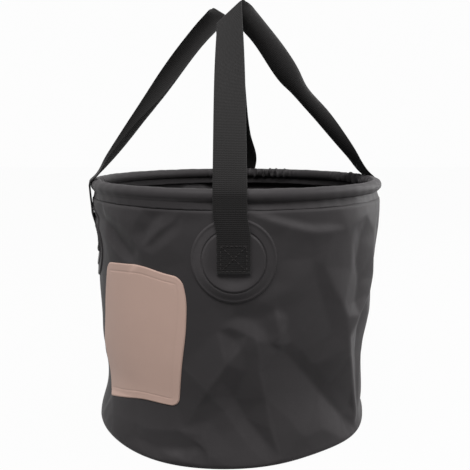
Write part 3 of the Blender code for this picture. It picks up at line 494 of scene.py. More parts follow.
class Wall:
    """The creased wall: its outer radius is a turned profile plus swellings and the fold field."""

    def __init__(self, strength):
        """The field, and where it bends outwards: a point less the mean of its neighbours, times four."""
        crisp, soft = fold_field(CRISP_FOLDS, CRISP_ROUNDS), fold_field(SOFT_FOLDS, SOFT_ROUNDS)
        self.field = (crisp + soft) * strength
        bend = np.zeros_like(self.field)
        bend[:, 1:-1] = 2.0 * self.field[:, 1:-1] - self.field[:, :-2] - self.field[:, 2:]
        bend += 2.0 * self.field - np.roll(self.field, 1, axis=0) - np.roll(self.field, -1, axis=0)
        self.ridge = np.clip(bend / SCUFFED_BEND, 0.0, 1.0)

    def look_up(self, table, azimuth, height):
        """Linear interpolation in a table over azimuth, which goes round, and height."""
        i = np.mod(azimuth, 360.0) / 360.0 * GRID_AZIMUTHS
        j = np.clip((height - GRID_LOW) / GRID_STEP, 0.0, table.shape[1] - 1.001)
        i0, j0 = np.floor(i).astype(int), np.floor(j).astype(int)
        fi, fj = i - i0, j - j0
        i0, i1 = i0 % GRID_AZIMUTHS, (i0 + 1) % GRID_AZIMUTHS
        low = table[i0, j0] * (1 - fi) + table[i1, j0] * fi
        high = table[i0, j0 + 1] * (1 - fi) + table[i1, j0 + 1] * fi
        return low * (1 - fj) + high * fj

    def profile(self, height):
        """The turned radius: a smooth curve up to the bulge, then a short step in to the hem."""
        stations, radii = np.array(PROFILE_MM).T * MM
        radius = through(stations, radii, np.clip(height, stations[0], stations[-1]))
        return radius + (NECK_RADIUS - radius) * smoothstep(BULGE_HEIGHT, HEM_END + HEM_SOFT, height)

    def swelling(self, azimuth, height):
        """The broad swellings: each is a bell curve over azimuth times one over height."""
        total = 0.0
        for middle, width, level, tall, offset in SWELLINGS:
            across = bell(turn_from(middle, azimuth), 0.0, width)
            total = total + offset * MM * across * bell(height / MM, level, tall)
        return total * smoothstep(HEM_END, BULGE_HEIGHT - 12.0 * MM, height)

    def smooth_radius(self, azimuth, height):
        """The outer radius without folds: profile plus swellings."""
        return self.profile(height) + self.swelling(azimuth, height)

    def radius(self, azimuth, height):
        """The outer radius with its folds."""
        return self.smooth_radius(azimuth, height) + self.look_up(self.field, azimuth, height)

    def point(self, azimuth, height, offset):
        """Points at an offset from the wall's outside, along the radius."""
        azimuth, height = np.broadcast_arrays(np.asarray(azimuth, float), np.asarray(height, float))
        place = outward(azimuth) * (self.radius(azimuth, height) + offset)[..., None]
        place[..., 2] = height
        return place


def skin_quads(rows, columns, joined=False):
    """Faces between neighbouring closed rings: their rows and columns, and their four corners."""
    spans = rows if joined else rows - 1
    row, column = (grid.ravel() for grid in np.meshgrid(np.arange(spans), np.arange(columns), indexing="ij"))
    first, second = row * columns, (row + 1) % rows * columns
    beside = (column + 1) % columns
    return row, column, np.stack([first + column, first + beside, second + beside, second + column], axis=-1)


def ring_mesh(name, rings, across, along=None, joined=False):
    """A closed skin over rings[i, j], which is point j of closed ring i.

    across has one more value than a ring has points, and along one for each ring, and one more where
    the last ring joins the first. They become the UV map, in metres. Left out, along is the distance
    over the rings' first points. Either the last ring joins the first, or both end rings are capped.
    The skin is turned outwards where the volume by its triangles, a.(b x c), comes out negative.
    """
    rows, columns = rings.shape[:2]
    if along is None:
        along = running_length(np.concatenate([rings[:, 0], rings[:1, 0]]))
    row, column, quads = skin_quads(rows, columns, joined)
    faces = quads.tolist()
    u = across[np.stack([column, column + 1, column + 1, column], axis=-1).ravel()]
    v = along[np.stack([row, row, row + 1, row + 1], axis=-1).ravel()]
    if not joined:
        last = (rows - 1) * columns
        faces += [list(range(columns))[::-1], list(range(last, last + columns))]
        u = np.concatenate([u, across[:columns][::-1], across[:columns]])
        v = np.concatenate([v, np.full(columns, along[0]), np.full(columns, along[rows - 1])])
    mesh = bpy.data.meshes.new(name)
    mesh.from_pydata(rings.reshape(-1, 3), [], faces)
    uv = mesh.uv_layers.new(name="UVMap")
    uv.data.foreach_set("uv", np.stack([u, v], axis=-1).astype(np.float32).ravel())
    a, b, c, d = rings.reshape(-1, 3)[quads.T]
    volume = np.sum(a * np.cross(b, c)) + np.sum(a * np.cross(c, d))
    if volume < 0.0:
        mesh.flip_normals()
    mesh.shade_smooth()
    mesh.set_sharp_from_angle(angle=math.radians(55.0))
    mesh.update()
    return mesh


def store(mesh, name, values):
    """Keeps one number for each point of a mesh, for its material to read."""
    attribute = mesh.attributes.new(name, "FLOAT", "POINT")
    attribute.data.foreach_set("value", np.asarray(values, np.float32).ravel())


def add_piece(mesh, material, replaces=()):
    """Puts a mesh in the scene at the origin with its material and the nodes that it stands for."""
    piece = bpy.data.objects.new(mesh.name, mesh)
    bpy.context.scene.collection.objects.link(piece)
    mesh.materials.append(material)
    if replaces:
        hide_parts(*replaces)
    return piece


def on_folding_wall(piece):
    """The piece is fixed to the wall: it hangs from the base's body and gets a mesh of its own."""
    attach(piece, "base")
    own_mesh(piece)


# Sockets of a colour Mix node, which has others for numbers and vectors before them
FACTOR, FIRST, SECOND, MIXED = 0, 6, 7, 2


def add_node(tree, kind, inputs=(), **settings):
    """Adds a shader node with its settings, and fills its inputs, in order or by their keys.

    An input takes a value, another node's output, or a node, which stands for its first output.
    """
    node = tree.nodes.new(f"ShaderNode{kind}")
    for name, value in settings.items():
        setattr(node, name, value)
    for key, value in inputs.items() if isinstance(inputs, dict) else enumerate(inputs):
        if isinstance(value, bpy.types.Node):
            value = value.outputs[0]
        if isinstance(value, bpy.types.NodeSocket):
            tree.links.new(value, node.inputs[key])
        else:
            node.inputs[key].default_value = value
    return node


def new_material(name):
    """A material with an empty node tree, and add_node for that tree."""
    material = bpy.data.materials.new(name)
    material.use_nodes = True
    material.node_tree.nodes.clear()
    return material, partial(add_node, material.node_tree)


def shaded(colour, share):
    """A colour made lighter or darker by a share, with full alpha."""
    return (*(min(channel * share, 1.0) for channel in colour), 1.0)


# Sizes of the coated fabric's patterns: the dye's mottling, the marks of hands, a pair of the scrim's
# threads, whose mounds show 0.55 mm apart, the skin's grain, and the sheet's small dents
MOTTLE_SIZE = 60.0 * MM
MARK_SIZE = 9.0 * MM
SCRIM_PAIR = 1.1 * MM
SKIN_GRAIN = 1.4 * MM
DENT_SIZE = 14.0 * MM


def coated_fabric(name, colour, roughness):
    """Polyester scrim coated with soft PVC: a smooth satin skin, a faint weave under it, chalky ridges, and a
    painted highlight where the patches carry one.
    """
    material, add = new_material(name)
    place = add("TexCoord").outputs
    spot = place["Object"]
    # Broad mottling of the dye, and finer clouds of handling marks that also change the gloss
    mottle = add("TexNoise", {"Vector": spot, "Scale": 1.0 / MOTTLE_SIZE, "Detail": 3.0})
    marks = add("TexNoise", {"Vector": spot, "Scale": 1.0 / MARK_SIZE, "Detail": 5.0, "Roughness": 0.6})
    ends = {FIRST: shaded(colour, 0.93), SECOND: shaded(colour, 1.07)}
    base = add("Mix", {FACTOR: mottle} | ends, data_type="RGBA").outputs[MIXED]
    # The attribute ridge says how far a place stands out: there the coating is scuffed pale. On the patches
    # it holds a painted highlight instead, which lightens the coating as if lit
    scuff_and_painted_glow = add("Attribute", attribute_name="ridge").outputs["Fac"]
    half = add("Math", (marks, 0.5), operation="MULTIPLY")
    chalk_and_painted_glow = add("Math", (scuff_and_painted_glow, half), operation="MULTIPLY")
    ends = {FIRST: base, SECOND: shaded(colour, 1.9)}
    scuffed = add("Mix", {FACTOR: chalk_and_painted_glow} | ends, data_type="RGBA").outputs[MIXED]
    gloss = add("Math", (marks, 0.16, roughness - 0.08), operation="MULTIPLY_ADD")
    # The scrim's threads show through the coating as a faint grid of little mounds
    uv = add("SeparateXYZ", (place["UV"],)).outputs
    waves = []
    for axis in (0, 1):
        phase = add("Math", (uv[axis], 2.0 * math.pi / SCRIM_PAIR), operation="MULTIPLY")
        wave = add("Math", (phase,), operation="SINE")
        waves.append(add("Math", (wave,), operation="ABSOLUTE"))
    weave = add("Math", waves, operation="MULTIPLY")
    grain = add("TexNoise", {"Vector": spot, "Scale": 1.0 / SKIN_GRAIN, "Detail": 2.0})
    relief = add("Math", (weave, 0.35, grain), operation="MULTIPLY_ADD")
    fine = add("Bump", {"Height": relief, "Distance": 0.05 * MM, "Strength": 0.5})
    # Small dents of a folded sheet, under half a millimetre deep
    dents = add("TexNoise", {"Vector": spot, "Scale": 1.0 / DENT_SIZE, "Detail": 1.5, "Distortion": 0.6})
    dented = add("Bump", {"Height": dents, "Distance": 0.5 * MM, "Strength": 0.5, "Normal": fine})
    looks = {"Base Color": scuffed, "Roughness": gloss, "Specular IOR Level": 0.05, "Normal": dented}
    add("OutputMaterial", (add("BsdfPrincipled", looks),))
    return material


# Width of a pair of the webbing's warp ends, which show 1.25 mm apart, and the size of its fibres' tufts
WARP_PAIR = 2.5 * MM
FIBRE_SIZE = 0.9 * MM


def woven_webbing(name, colour, pitch):
    """Polypropylene webbing: cross ribs over warp ends with painted shade in the hollows between them, matte
    with a soft sheen at grazing angles.
    """
    material, add = new_material(name)
    place = add("TexCoord").outputs
    uv = add("SeparateXYZ", (place["UV"],)).outputs
    phase = add("Math", (uv[0], 2.0 * math.pi / WARP_PAIR), operation="MULTIPLY")
    warp = add("Math", (phase,), operation="SINE")
    # Neighbouring warp ends are shifted along the webbing against each other, as in plain weave
    shift = add("Math", (warp, 0.45), operation="MULTIPLY")
    phase = add("Math", (uv[1], 2.0 * math.pi / pitch), operation="MULTIPLY")
    shifted = add("Math", (phase, shift), operation="ADD")
    rib = add("Math", (shifted,), operation="SINE")
    rib_height = add("Math", (rib, 0.5, 0.5), operation="MULTIPLY_ADD")
    rib_share = add("Math", (rib_height, 0.7), operation="MULTIPLY")
    column = add("Math", (warp,), operation="ABSOLUTE")
    relief = add("Math", (column, 0.3, rib_share), operation="MULTIPLY_ADD")
    fibres = add("TexNoise", {"Vector": place["Object"], "Scale": 1.0 / FIBRE_SIZE, "Detail": 3.0})
    # Painted shade: the colour is darker where the ribs and warp ends sink, times the fibres' own tone
    tone = add("Math", (fibres, 0.5), operation="ADD")
    hollow_shade_and_fibre_tone = add("Math", (relief, tone), operation="MULTIPLY")
    ends = {FIRST: shaded(colour, 0.62), SECOND: shaded(colour, 1.28)}
    woven = add("Mix", {FACTOR: hollow_shade_and_fibre_tone} | ends, data_type="RGBA").outputs[MIXED]
    ribbed = add("Bump", {"Height": relief, "Distance": 0.3 * MM, "Strength": 0.8})
    fuzz = add("Bump", {"Height": fibres, "Distance": 0.12 * MM, "Strength": 0.5, "Normal": ribbed})
    looks = {"Base Color": woven, "Roughness": 0.78, "Specular IOR Level": 0.08, "Normal": fuzz}
    looks |= {"Sheen Weight": 0.08, "Sheen Roughness": 0.5}
    add("OutputMaterial", (add("BsdfPrincipled", looks),))
    return material


def label_film(name, colour):
    """Thermoplastic film welded to the wall: matte, finely grained, darker towards its edge, with painted
    shade in its pressed line.
    """
    material, add = new_material(name)
    spot = add("TexCoord").outputs["Object"]
    # Clouds of soil 30 mm across, and a moulded grain of 1.2 mm
    clouds = add("TexNoise", {"Vector": spot, "Scale": 1.0 / (30.0 * MM), "Detail": 4.0})
    ends = {FIRST: shaded(colour, 0.96), SECOND: shaded(colour, 1.04)}
    base = add("Mix", {FACTOR: clouds} | ends, data_type="RGBA").outputs[MIXED]
    # The attribute edge makes the film darker towards its edge and paints shade into its pressed line
    edge = add("Attribute", attribute_name="edge").outputs["Fac"]
    edge_darkening_and_groove_shade = add("Math", (edge, 0.55), operation="MULTIPLY")
    edge_darkened_groove_shaded = {FACTOR: edge_darkening_and_groove_shade, FIRST: base, SECOND: shaded(colour, 0.6)}
    film = add("Mix", edge_darkened_groove_shaded, data_type="RGBA").outputs[MIXED]
    grain = add("TexNoise", {"Vector": spot, "Scale": 1.0 / (1.2 * MM), "Detail": 3.0})
    bump = add("Bump", {"Height": grain, "Distance": 0.06 * MM, "Strength": 0.5})
    looks = {"Base Color": film, "Roughness": 0.58, "Specular IOR Level": 0.25, "Normal": bump}
    add("OutputMaterial", (add("BsdfPrincipled", looks),))
    return material


# The thread's plies show as bands this far apart, coarser than the real 1.1 mm so that they are seen.
# The diagonal bands of a wave texture repeat every 2 pi / 10 on each axis, so sqrt(3) times as often
# on the diagonal itself
PLY_SPACING = 2.3942 * MM
PLY_SCALE = 2.0 * math.pi / (10.0 * math.sqrt(3.0) * PLY_SPACING)


def sewing_thread(name, colour):
    """Bonded nylon thread: two plies that wind round each other, with painted shade in the grooves between
    them, a little glossy.
    """
    material, add = new_material(name)
    spot = add("TexCoord").outputs["Object"]
    bands = {"Vector": spot, "Scale": PLY_SCALE, "Distortion": 1.0}
    plies = add("TexWave", bands, bands_direction="DIAGONAL").outputs["Fac"]
    # Painted shade: the colour is darker where the plies' bump sinks, in the grooves between them
    ends = {FIRST: shaded(colour, 0.7), SECOND: shaded(colour, 1.3)}
    wound = add("Mix", {FACTOR: plies} | ends, data_type="RGBA").outputs[MIXED]
    bump = add("Bump", {"Height": plies, "Distance": 0.1 * MM, "Strength": 0.6})
    looks = {"Base Color": wound, "Roughness": 0.6, "Specular IOR Level": 0.1, "Normal": bump}
    add("OutputMaterial", (add("BsdfPrincipled", looks),))
    return material


def moulded_plastic(name, colour):
    """Extruded polyethylene tube: faint clouds of 20 mm, a fine grain of 0.8 mm and a waxy gloss."""
    material, add = new_material(name)
    spot = add("TexCoord").outputs["Object"]
    clouds = add("TexNoise", {"Vector": spot, "Scale": 1.0 / (20.0 * MM), "Detail": 3.0})
    ends = {FIRST: shaded(colour, 0.9), SECOND: shaded(colour, 1.1)}
    tube = add("Mix", {FACTOR: clouds} | ends, data_type="RGBA").outputs[MIXED]
    grain = add("TexNoise", {"Vector": spot, "Scale": 1.0 / (0.8 * MM), "Detail": 2.0})
    bump = add("Bump", {"Height": grain, "Distance": 0.03 * MM, "Strength": 0.4})
    add("OutputMaterial", (add("BsdfPrincipled", {"Base Color": tube, "Roughness": 0.38, "Normal": bump}),))
    return material


WALL_COLUMNS = 448
WALL_ROWS = 128
LINING_ROWS = 56

# Under the wall's foot its section turns in this many degrees round the base's corner, in steps
CORNER_TURN = -40.0
CORNER_STEPS = 4


def make_wall(wall, fabric, material):
    """The wall's shell: rings of the section go down its outside, under the corner and up its inside.

    Outside points lie on the creased radius; inside points are one fabric thickness further in.
    """
    azimuths = ring_azimuths(WALL_COLUMNS)
    heights = np.linspace(WALL_TOP, CORNER_RADIUS, WALL_ROWS)
    inner_heights = np.linspace(CORNER_RADIUS, WALL_TOP, LINING_ROWS)
    turn = np.radians(np.linspace(0.0, CORNER_TURN, CORNER_STEPS + 1)[1:])
    foot = CORNER_CENTRE + wall.swelling(azimuths, CORNER_RADIUS)
    rings = [wall.point(azimuths, height, 0.0) for height in heights]
    for reach, angles in ((CORNER_RADIUS + FIT + fabric, turn), (CORNER_RADIUS + FIT, turn[::-1])):
        for angle in angles:
            ring = outward(azimuths) * (foot + reach * math.cos(angle))[:, None]
            ring[:, 2] = CORNER_RADIUS + reach * math.sin(angle)
            rings.append(ring)
    rings += [wall.point(azimuths, height, -fabric) for height in inner_heights]
    rings = np.array(rings)
    mesh = ring_mesh("bucket_wall", rings, round_the_rim(WALL_COLUMNS), joined=True)
    ridge = np.zeros(rings.shape[:2])
    ridge[:WALL_ROWS] = wall.look_up(wall.ridge, azimuths[None], heights[:, None])
    store(mesh, "ridge", ridge)
    on_folding_wall(add_piece(mesh, material, ("side_wall",)))


BASE_COLUMNS = 192
BASE_HUB = 3.0 * MM
FLANGE_TALL = 10.0 * MM

# The weld ring pressed into the base's underside lies between these radii, with sloping edges
PRESS_DEPTH = 0.25 * MM
PRESS_INNER = CORNER_CENTRE - 14.0 * MM
PRESS_OUTER = CORNER_CENTRE - 5.0 * MM
PRESS_EDGE = 1.0 * MM


def make_base(wall, fabric, material):
    """The base: a section from the underside's middle, round the corner, up the welded flange and back.

    The flange lies against the inside of the creased wall. Towards the corner, from half way out, the
    section moves out with the wall's swellings.
    """
    azimuths = ring_azimuths(BASE_COLUMNS)
    turn = np.radians(np.linspace(-90.0, 0.0, 9))
    flange = np.linspace(CORNER_RADIUS, CORNER_RADIUS + FLANGE_TALL, 7)[1:]
    disc = np.linspace(BASE_HUB, PRESS_INNER - 2.0 * MM, 24)
    margin = np.linspace(PRESS_INNER - PRESS_EDGE, CORNER_CENTRE, 16)[:-1]
    radii = np.concatenate([disc, margin])
    press = PRESS_DEPTH * smoothstep(PRESS_INNER, PRESS_INNER + PRESS_EDGE, radii)
    press *= 1.0 - smoothstep(PRESS_OUTER, PRESS_OUTER + PRESS_EDGE, radii)

    def corner(reach):
        """The rounded corner's section at a reach from its centre, from below to outside."""
        return np.stack([CORNER_CENTRE + reach * np.cos(turn), CORNER_RADIUS + reach * np.sin(turn)], axis=-1)

    def turned_rings(section):
        """A section of radii and heights carried round the axis."""
        spread = smoothstep(0.5 * CORNER_CENTRE, CORNER_CENTRE, section[:, 0])[:, None]
        reach = section[:, 0][:, None] + wall.swelling(azimuths, CORNER_RADIUS)[None] * spread
        rings = outward(azimuths)[None] * reach[..., None]
        rings[..., 2] = section[:, 1][:, None]
        return rings

    flat = np.stack([radii, press], axis=-1)
    under = np.concatenate([flat, corner(CORNER_RADIUS)])
    over = np.concatenate([corner(CORNER_RADIUS - fabric)[::-1], flat[::-1] + (0.0, fabric)])
    outside = wall.point(azimuths[None], flange[:, None], -fabric - FIT)
    inside = wall.point(azimuths[None], flange[::-1, None], -2.0 * fabric - FIT)
    rings = np.concatenate([turned_rings(under), outside, inside, turned_rings(over)])
    mesh = ring_mesh("bucket_base", rings, round_the_rim(BASE_COLUMNS))
    piece = add_piece(mesh, material, ("base_panel",))
    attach(piece, "base")


SLEEVE_COLUMNS = 960

# Where the sleeve is drawn up: (azimuth and half width in degrees, strength). Two spans are strong
GATHERED_SPANS = (
    (162.0, 12.0, 1.4), (111.0, 13.0, 1.5), (92.0, 5.0, 0.35), (190.0, 6.0, 0.3), (272.0, 5.0, 0.3),
    (9.0, 5.0, 0.2),
)

# Below the hoop the sleeve has a neck from this depth on, except at the front left, where it hangs loose
NECK_DEPTH = 2.9 * MM
LOOSE_AZIMUTH = -40.0
LOOSE_HALF_WIDTH = 34.0
LOOSE_SHARE = 0.85


def gathers(azimuth, around, pitch):
    """How strongly the sleeve is gathered, at an azimuth and an angle round the channel.

    Near the webbing the sleeve is drawn up: two spans on the inside of the rim are strongly ruffled
    and short ones beside the other straps faintly. Sines of unlike pitch are added, so no two
    ruffles are alike.
    """
    arc = np.radians(azimuth) * RIM_RADIUS
    strength = sum(
        power * bell(turn_from(middle, azimuth), 0.0, half, 4) for middle, half, power in GATHERED_SPANS
    )
    slant = 0.9 * np.sin(around * 1.3 + azimuth * 0.21)
    drift = 1.4 * np.sin(arc / (3.1 * pitch))
    ruffle = 0.6 * np.sin(2.0 * math.pi * arc / pitch + slant + drift)
    ruffle += 0.4 * np.sin(2.0 * math.pi * arc / (0.62 * pitch) - 1.7 * slant + 2.0 * np.cos(around))
    inside = smoothstep(0.1, 0.7, -np.cos(around)) * smoothstep(-1.0, -0.4, np.sin(around))
    return strength * inside * ruffle


def sleeve_section(fabric):
    """The sleeve's closed section about the hoop's centre, its normals and its angles round the channel.

    Points go up the inner hem leg, round the channel, down the outer leg, which flares, and back by
    the inside of the cloth. Only the first points, the shown ones, have normals.
    """
    inside, outside = FABRIC / 2 + FIT, FABRIC / 2 + FIT + fabric
    middle = (inside + outside) / 2
    bore = CHANNEL_RADIUS - fabric
    opening, bore_opening = math.asin(outside / CHANNEL_RADIUS), math.asin(inside / bore)
    drop = RIM_HEIGHT - HEM_END
    legs = np.linspace(math.sqrt(CHANNEL_RADIUS**2 - outside**2), drop - 0.3 * MM, 8)[1:]
    flare = HEM_FLARE * np.clip((legs - legs[0]) / (drop - legs[0]), 0.0, 1.0) ** 1.6
    around = np.linspace(1.5 * math.pi - opening, -0.5 * math.pi + opening, 41)
    bored = np.linspace(-0.5 * math.pi + bore_opening, 1.5 * math.pi - bore_opening, 17)

    def spots(sideways, up):
        """Points from places sideways and up, either of which may be one number."""
        return np.stack(np.broadcast_arrays(sideways, up), axis=-1)

    channel = spots(np.cos(around), np.sin(around))
    shown = [spots(-outside, -legs[::-1]), channel * CHANNEL_RADIUS, spots(outside + flare * 0.8, -legs)]
    hidden = [
        spots([middle + HEM_FLARE * 0.9], -drop),
        spots(inside + flare[::-1], -legs[::-1]),
        spots(np.cos(bored), np.sin(bored)) * bore,
        spots(-inside, -legs),
        spots([-middle], -drop),
    ]
    level = np.zeros(len(legs))
    normals = np.concatenate([spots(-1.0, level), channel, spots(1.0, level)])
    angles = np.concatenate([level + 1.4 * math.pi, around, level - 0.4 * math.pi])
    section = np.concatenate(shown + hidden)
    rest = len(section) - len(normals)
    return section, np.pad(normals, ((0, rest), (0, 0))), np.pad(angles, (0, rest)), len(normals)


def make_sleeve(fabric, pucker, pitch, material):
    """The rim sleeve: a keyhole section carried round the rim.

    The section is an arc of 5 mm round the hoop with a hem leg on each side of the wall's top.
    Gathers and a faint waviness move each shown point along the section's normal.
    """
    section, normals, angles, outer = sleeve_section(fabric)
    azimuths = ring_azimuths(SLEEVE_COLUMNS)
    azimuth, angle = np.meshgrid(azimuths, angles)
    shown = np.arange(len(section)) < outer
    lift = gathers(azimuth, angle, pitch) * pucker
    turned = np.radians(azimuth)
    wave = 0.10 * MM * np.sin(turned * 23.0 + 1.3) + 0.07 * MM * np.sin(turned * 61.0 + 2.0 * np.cos(angle))
    lift = np.where(shown[:, None], np.maximum(lift, -0.25 * MM) + wave, 0.0)
    sideways, up = section[:, 0][:, None], section[:, 1][:, None]
    out = RIM_RADIUS + sideways + normals[:, 0][:, None] * lift
    # At the front left the cloth runs from the hoop straight to the hem's edge, without a neck
    share = np.clip((-up - NECK_DEPTH) / (RIM_HEIGHT - HEM_END - NECK_DEPTH), 0.0, 1.0)
    straight = CHANNEL_RADIUS * 0.82 - 0.9 * MM * share
    loose = bell(turn_from(LOOSE_AZIMUTH, azimuths), 0.0, LOOSE_HALF_WIDTH, 4)[None] * LOOSE_SHARE
    neck = shown[:, None] & (sideways > 0.0) & (up < -NECK_DEPTH)
    out += np.where(neck, loose * np.maximum(straight - sideways, 0.0), 0.0)
    rings = outward(azimuths)[None] * out[..., None]
    rings[..., 2] = RIM_HEIGHT + up + normals[:, 1][:, None] * lift
    mesh = ring_mesh("rim_sleeve_cloth", rings, round_the_rim(SLEEVE_COLUMNS), joined=True)
    # The gathers' crests are scuffed
    store(mesh, "ridge", np.clip(lift / pucker - 0.3, 0.0, 1.0) * 0.3 * shown[:, None])
    piece = add_piece(mesh, material, ("rim_sleeve",))
    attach(piece, "rim")


PATCH_COLUMNS = 144

# What is welded to the wall lies this far off it, so that the two surfaces don't mix
WELD_GAP = 0.12 * MM

# The patch's section, as distances from its middle: the disc's rim, the groove and the edge bead
DISC_EDGE = (22.4 * MM, 23.7 * MM)
GROOVE_RADIUS = 24.1 * MM
GROOVE_WIDTH = 0.45 * MM
GROOVE_DEPTH = 0.55 * MM
BEAD_RADIUS = 30.9 * MM
BEAD_WIDTH = 0.8 * MM
BEAD_HEIGHT = 0.35 * MM

# Below the webbing the front patch stands up to its ring, as a dish does, and the others hardly do
FRONT_DISH = 2.0 * MM
OTHER_DISH = 0.3 * MM


def make_patch(wall, place, azimuth, material, rise):
    """A welded patch: rings about its middle whose height over the wall follows a section.

    From the middle out: a disc 1.6 mm thick with a rounded rim, a pressed groove, a flange 0.8 mm
    thick with a bead at its edge, and the flat back.
    """
    reach = np.concatenate([
        np.linspace(1.5 * MM, 21.5 * MM, 12), np.linspace(22.0 * MM, 25.6 * MM, 19),
        np.linspace(26.0 * MM, 30.0 * MM, 6), np.linspace(30.4 * MM, PATCH_RADIUS, 12),
    ])
    flange = FABRIC * (1.0 - smoothstep(PATCH_RADIUS - 0.9 * MM, PATCH_RADIUS, reach) * 0.85)
    bead = BEAD_HEIGHT * bell(reach, BEAD_RADIUS, BEAD_WIDTH)
    groove = -GROOVE_DEPTH * bell(reach, GROOVE_RADIUS, GROOVE_WIDTH)
    disc = (DISC_THICKNESS - FABRIC) * (1.0 - smoothstep(*DISC_EDGE, reach))
    dish = rise * smoothstep(15.0 * MM, 23.5 * MM, reach)
    dish *= 1.0 - smoothstep(24.5 * MM, PATCH_RADIUS, reach)
    back = reach[::-6]
    shown = np.arange(len(reach) + len(back)) < len(reach)
    height = np.pad(flange + bead + groove + disc, (0, len(back))) + WELD_GAP
    dish = np.pad(dish, (0, len(back)))
    reach = np.concatenate([reach, back])
    angle = np.radians(ring_azimuths(PATCH_COLUMNS))
    height = height[:, None] + dish[:, None] * (0.5 - 0.5 * np.sin(angle)) ** 2
    turn = np.degrees(np.outer(reach, np.cos(angle)) / wall.profile(PATCH_HEIGHT))
    rings = wall.point(azimuth + turn, PATCH_HEIGHT + np.outer(reach, np.sin(angle)), height)
    across = np.linspace(0.0, 2.0 * math.pi, PATCH_COLUMNS + 1) * PATCH_RADIUS
    mesh = ring_mesh(f"strap_patch_{place}", rings, across)
    # Painted highlight: the ring's left and the dish below the webbing are made paler, as where light falls
    # on them
    left = bell(reach, 27.0 * MM, 7.0 * MM)[:, None] * np.clip(-np.cos(angle + 0.25), 0.0, 1.0) ** 2
    below = bell(reach, 17.0 * MM, 4.5 * MM)[:, None] * np.clip(-np.sin(angle), 0.0, 1.0) ** 4
    store(mesh, "ridge", (left * 2.2 + below * 1.4) * shown[:, None])
    nodes = (f"patch_flange_{place}", f"patch_disc_{place}")
    on_folding_wall(add_piece(mesh, material, nodes))


# The label's edges on the wall, as (share along the edge, azimuth in degrees, height in mm)
LABEL_TOP = (
    (0.0, -56.5, 155.0), (0.3, -43.0, 158.0), (0.6, -34.0, 158.5), (0.83, -25.5, 155.2), (1.0, -18.8, 153.0),
)
LABEL_BOTTOM = ((0.0, -65.5, 31.5), (0.35, -50.0, 40.0), (0.65, -38.0, 45.5), (1.0, -22.0, 47.0))
LABEL_LEFT = ((0.0, -65.5, 31.5), (0.33, -69.0, 72.0), (0.66, -63.5, 113.0), (1.0, -56.5, 155.0))
LABEL_RIGHT = (
    (0.0, -22.0, 47.0), (0.34, -19.9, 82.0), (0.67, -17.6, 117.0), (0.86, -17.4, 138.0), (1.0, -18.8, 153.0),
)
LABEL_CORNERS = tuple((edge, end) for edge in (LABEL_BOTTOM, LABEL_TOP) for end in (0.0, 1.0))

# Rows of the label lie closer towards its edges, by a sine over this share of a quarter turn
LABEL_SPREAD = math.pi / 2 * 0.86


def edge_point(edge, share):
    """Azimuth and height on an edge of the label, by smooth curves through its stations."""
    stations, azimuths, heights = np.array(edge).T
    return np.stack([through(stations, azimuths, share), through(stations, heights * MM, share)], axis=-1)


def label_place(u, v):
    """Azimuth and height for shares u, v across the label: a sheet stretched between its four edges.

    That is the blend of left and right plus the blend of bottom and top, less the blend of corners.
    """
    left, right = edge_point(LABEL_LEFT, v), edge_point(LABEL_RIGHT, v)
    bottom, top = edge_point(LABEL_BOTTOM, u), edge_point(LABEL_TOP, u)
    c00, c10, c01, c11 = (edge_point(edge, np.array(end)) for edge, end in LABEL_CORNERS)
    u, v = u[..., None], v[..., None]
    corners = c00 * (1 - u) * (1 - v) + c10 * u * (1 - v) + c01 * (1 - u) * v + c11 * u * v
    return left * (1 - u) + right * u + bottom * (1 - v) + top * v - corners


def make_label(wall, sizes, material):
    """The bare label: rings of its section stand side by side from its left edge to its right one.

    Each ring goes up the front and down the back. Distance from the rounded edge sets the height:
    the film's edge is rounded off, and a line is pressed in a few millimetres inside it.
    """
    half_w, half_h, corner = sizes.label_width / 2, sizes.label_height / 2, sizes.label_corner
    ends = half_w - corner + corner * np.sin(np.linspace(0.0, math.pi / 2, 15))
    middle = np.linspace(-half_w + corner, half_w - corner, 112)
    x = np.concatenate([-ends[::-1], middle[1:-1], ends])
    depth = np.maximum(np.abs(x) - (half_w - corner), 0.0)
    tall = half_h - corner + np.sqrt(np.maximum(corner**2 - depth**2, 0.0))
    front = np.sin(np.linspace(-1.0, 1.0, 171) * LABEL_SPREAD) / math.sin(LABEL_SPREAD)
    x_front, y_front = np.broadcast_arrays(x[:, None], tall[:, None] * front)
    qx, qy = np.abs(x_front) - (half_w - corner), np.abs(y_front) - (half_h - corner)
    outside = np.hypot(np.maximum(qx, 0.0), np.maximum(qy, 0.0)) + np.minimum(np.maximum(qx, qy), 0.0)
    inset = corner - outside
    pressed = sizes.border_depth * bell(inset, sizes.border_inset, 0.6 * MM)
    height = sizes.label_thickness * (0.45 + 0.55 * smoothstep(0.0, 0.9 * MM, inset)) - pressed
    spot = label_place((x_front / half_w + 1) / 2, (y_front / half_h + 1) / 2)
    over = wall.point(spot[..., 0], spot[..., 1], height + WELD_GAP)
    back = wall.point(spot[..., ::-1, 0], spot[..., ::-1, 1], WELD_GAP)
    length = running_length(np.stack([y_front[len(x) // 2], np.zeros_like(front)], axis=-1))
    across = np.concatenate([length, length[::-1], length[:1]])
    mesh = ring_mesh("blank_label", np.concatenate([over, back], axis=1), across, x + half_w)
    # Painted shade lies in the pressed line, and the film is darker towards its edge
    edge_darkening_and_groove_shade = bell(inset, sizes.border_inset, 0.9 * MM) * 0.12 + (1.0 - smoothstep(0.0, 1.2 * MM, inset)) * 0.8
    store(mesh, "edge", np.concatenate([edge_darkening_and_groove_shade, np.ones_like(edge_darkening_and_groove_shade)], axis=1))
    on_folding_wall(add_piece(mesh, material, ("label_patch",)))


TAPE_THICKNESS = 0.5 * MM


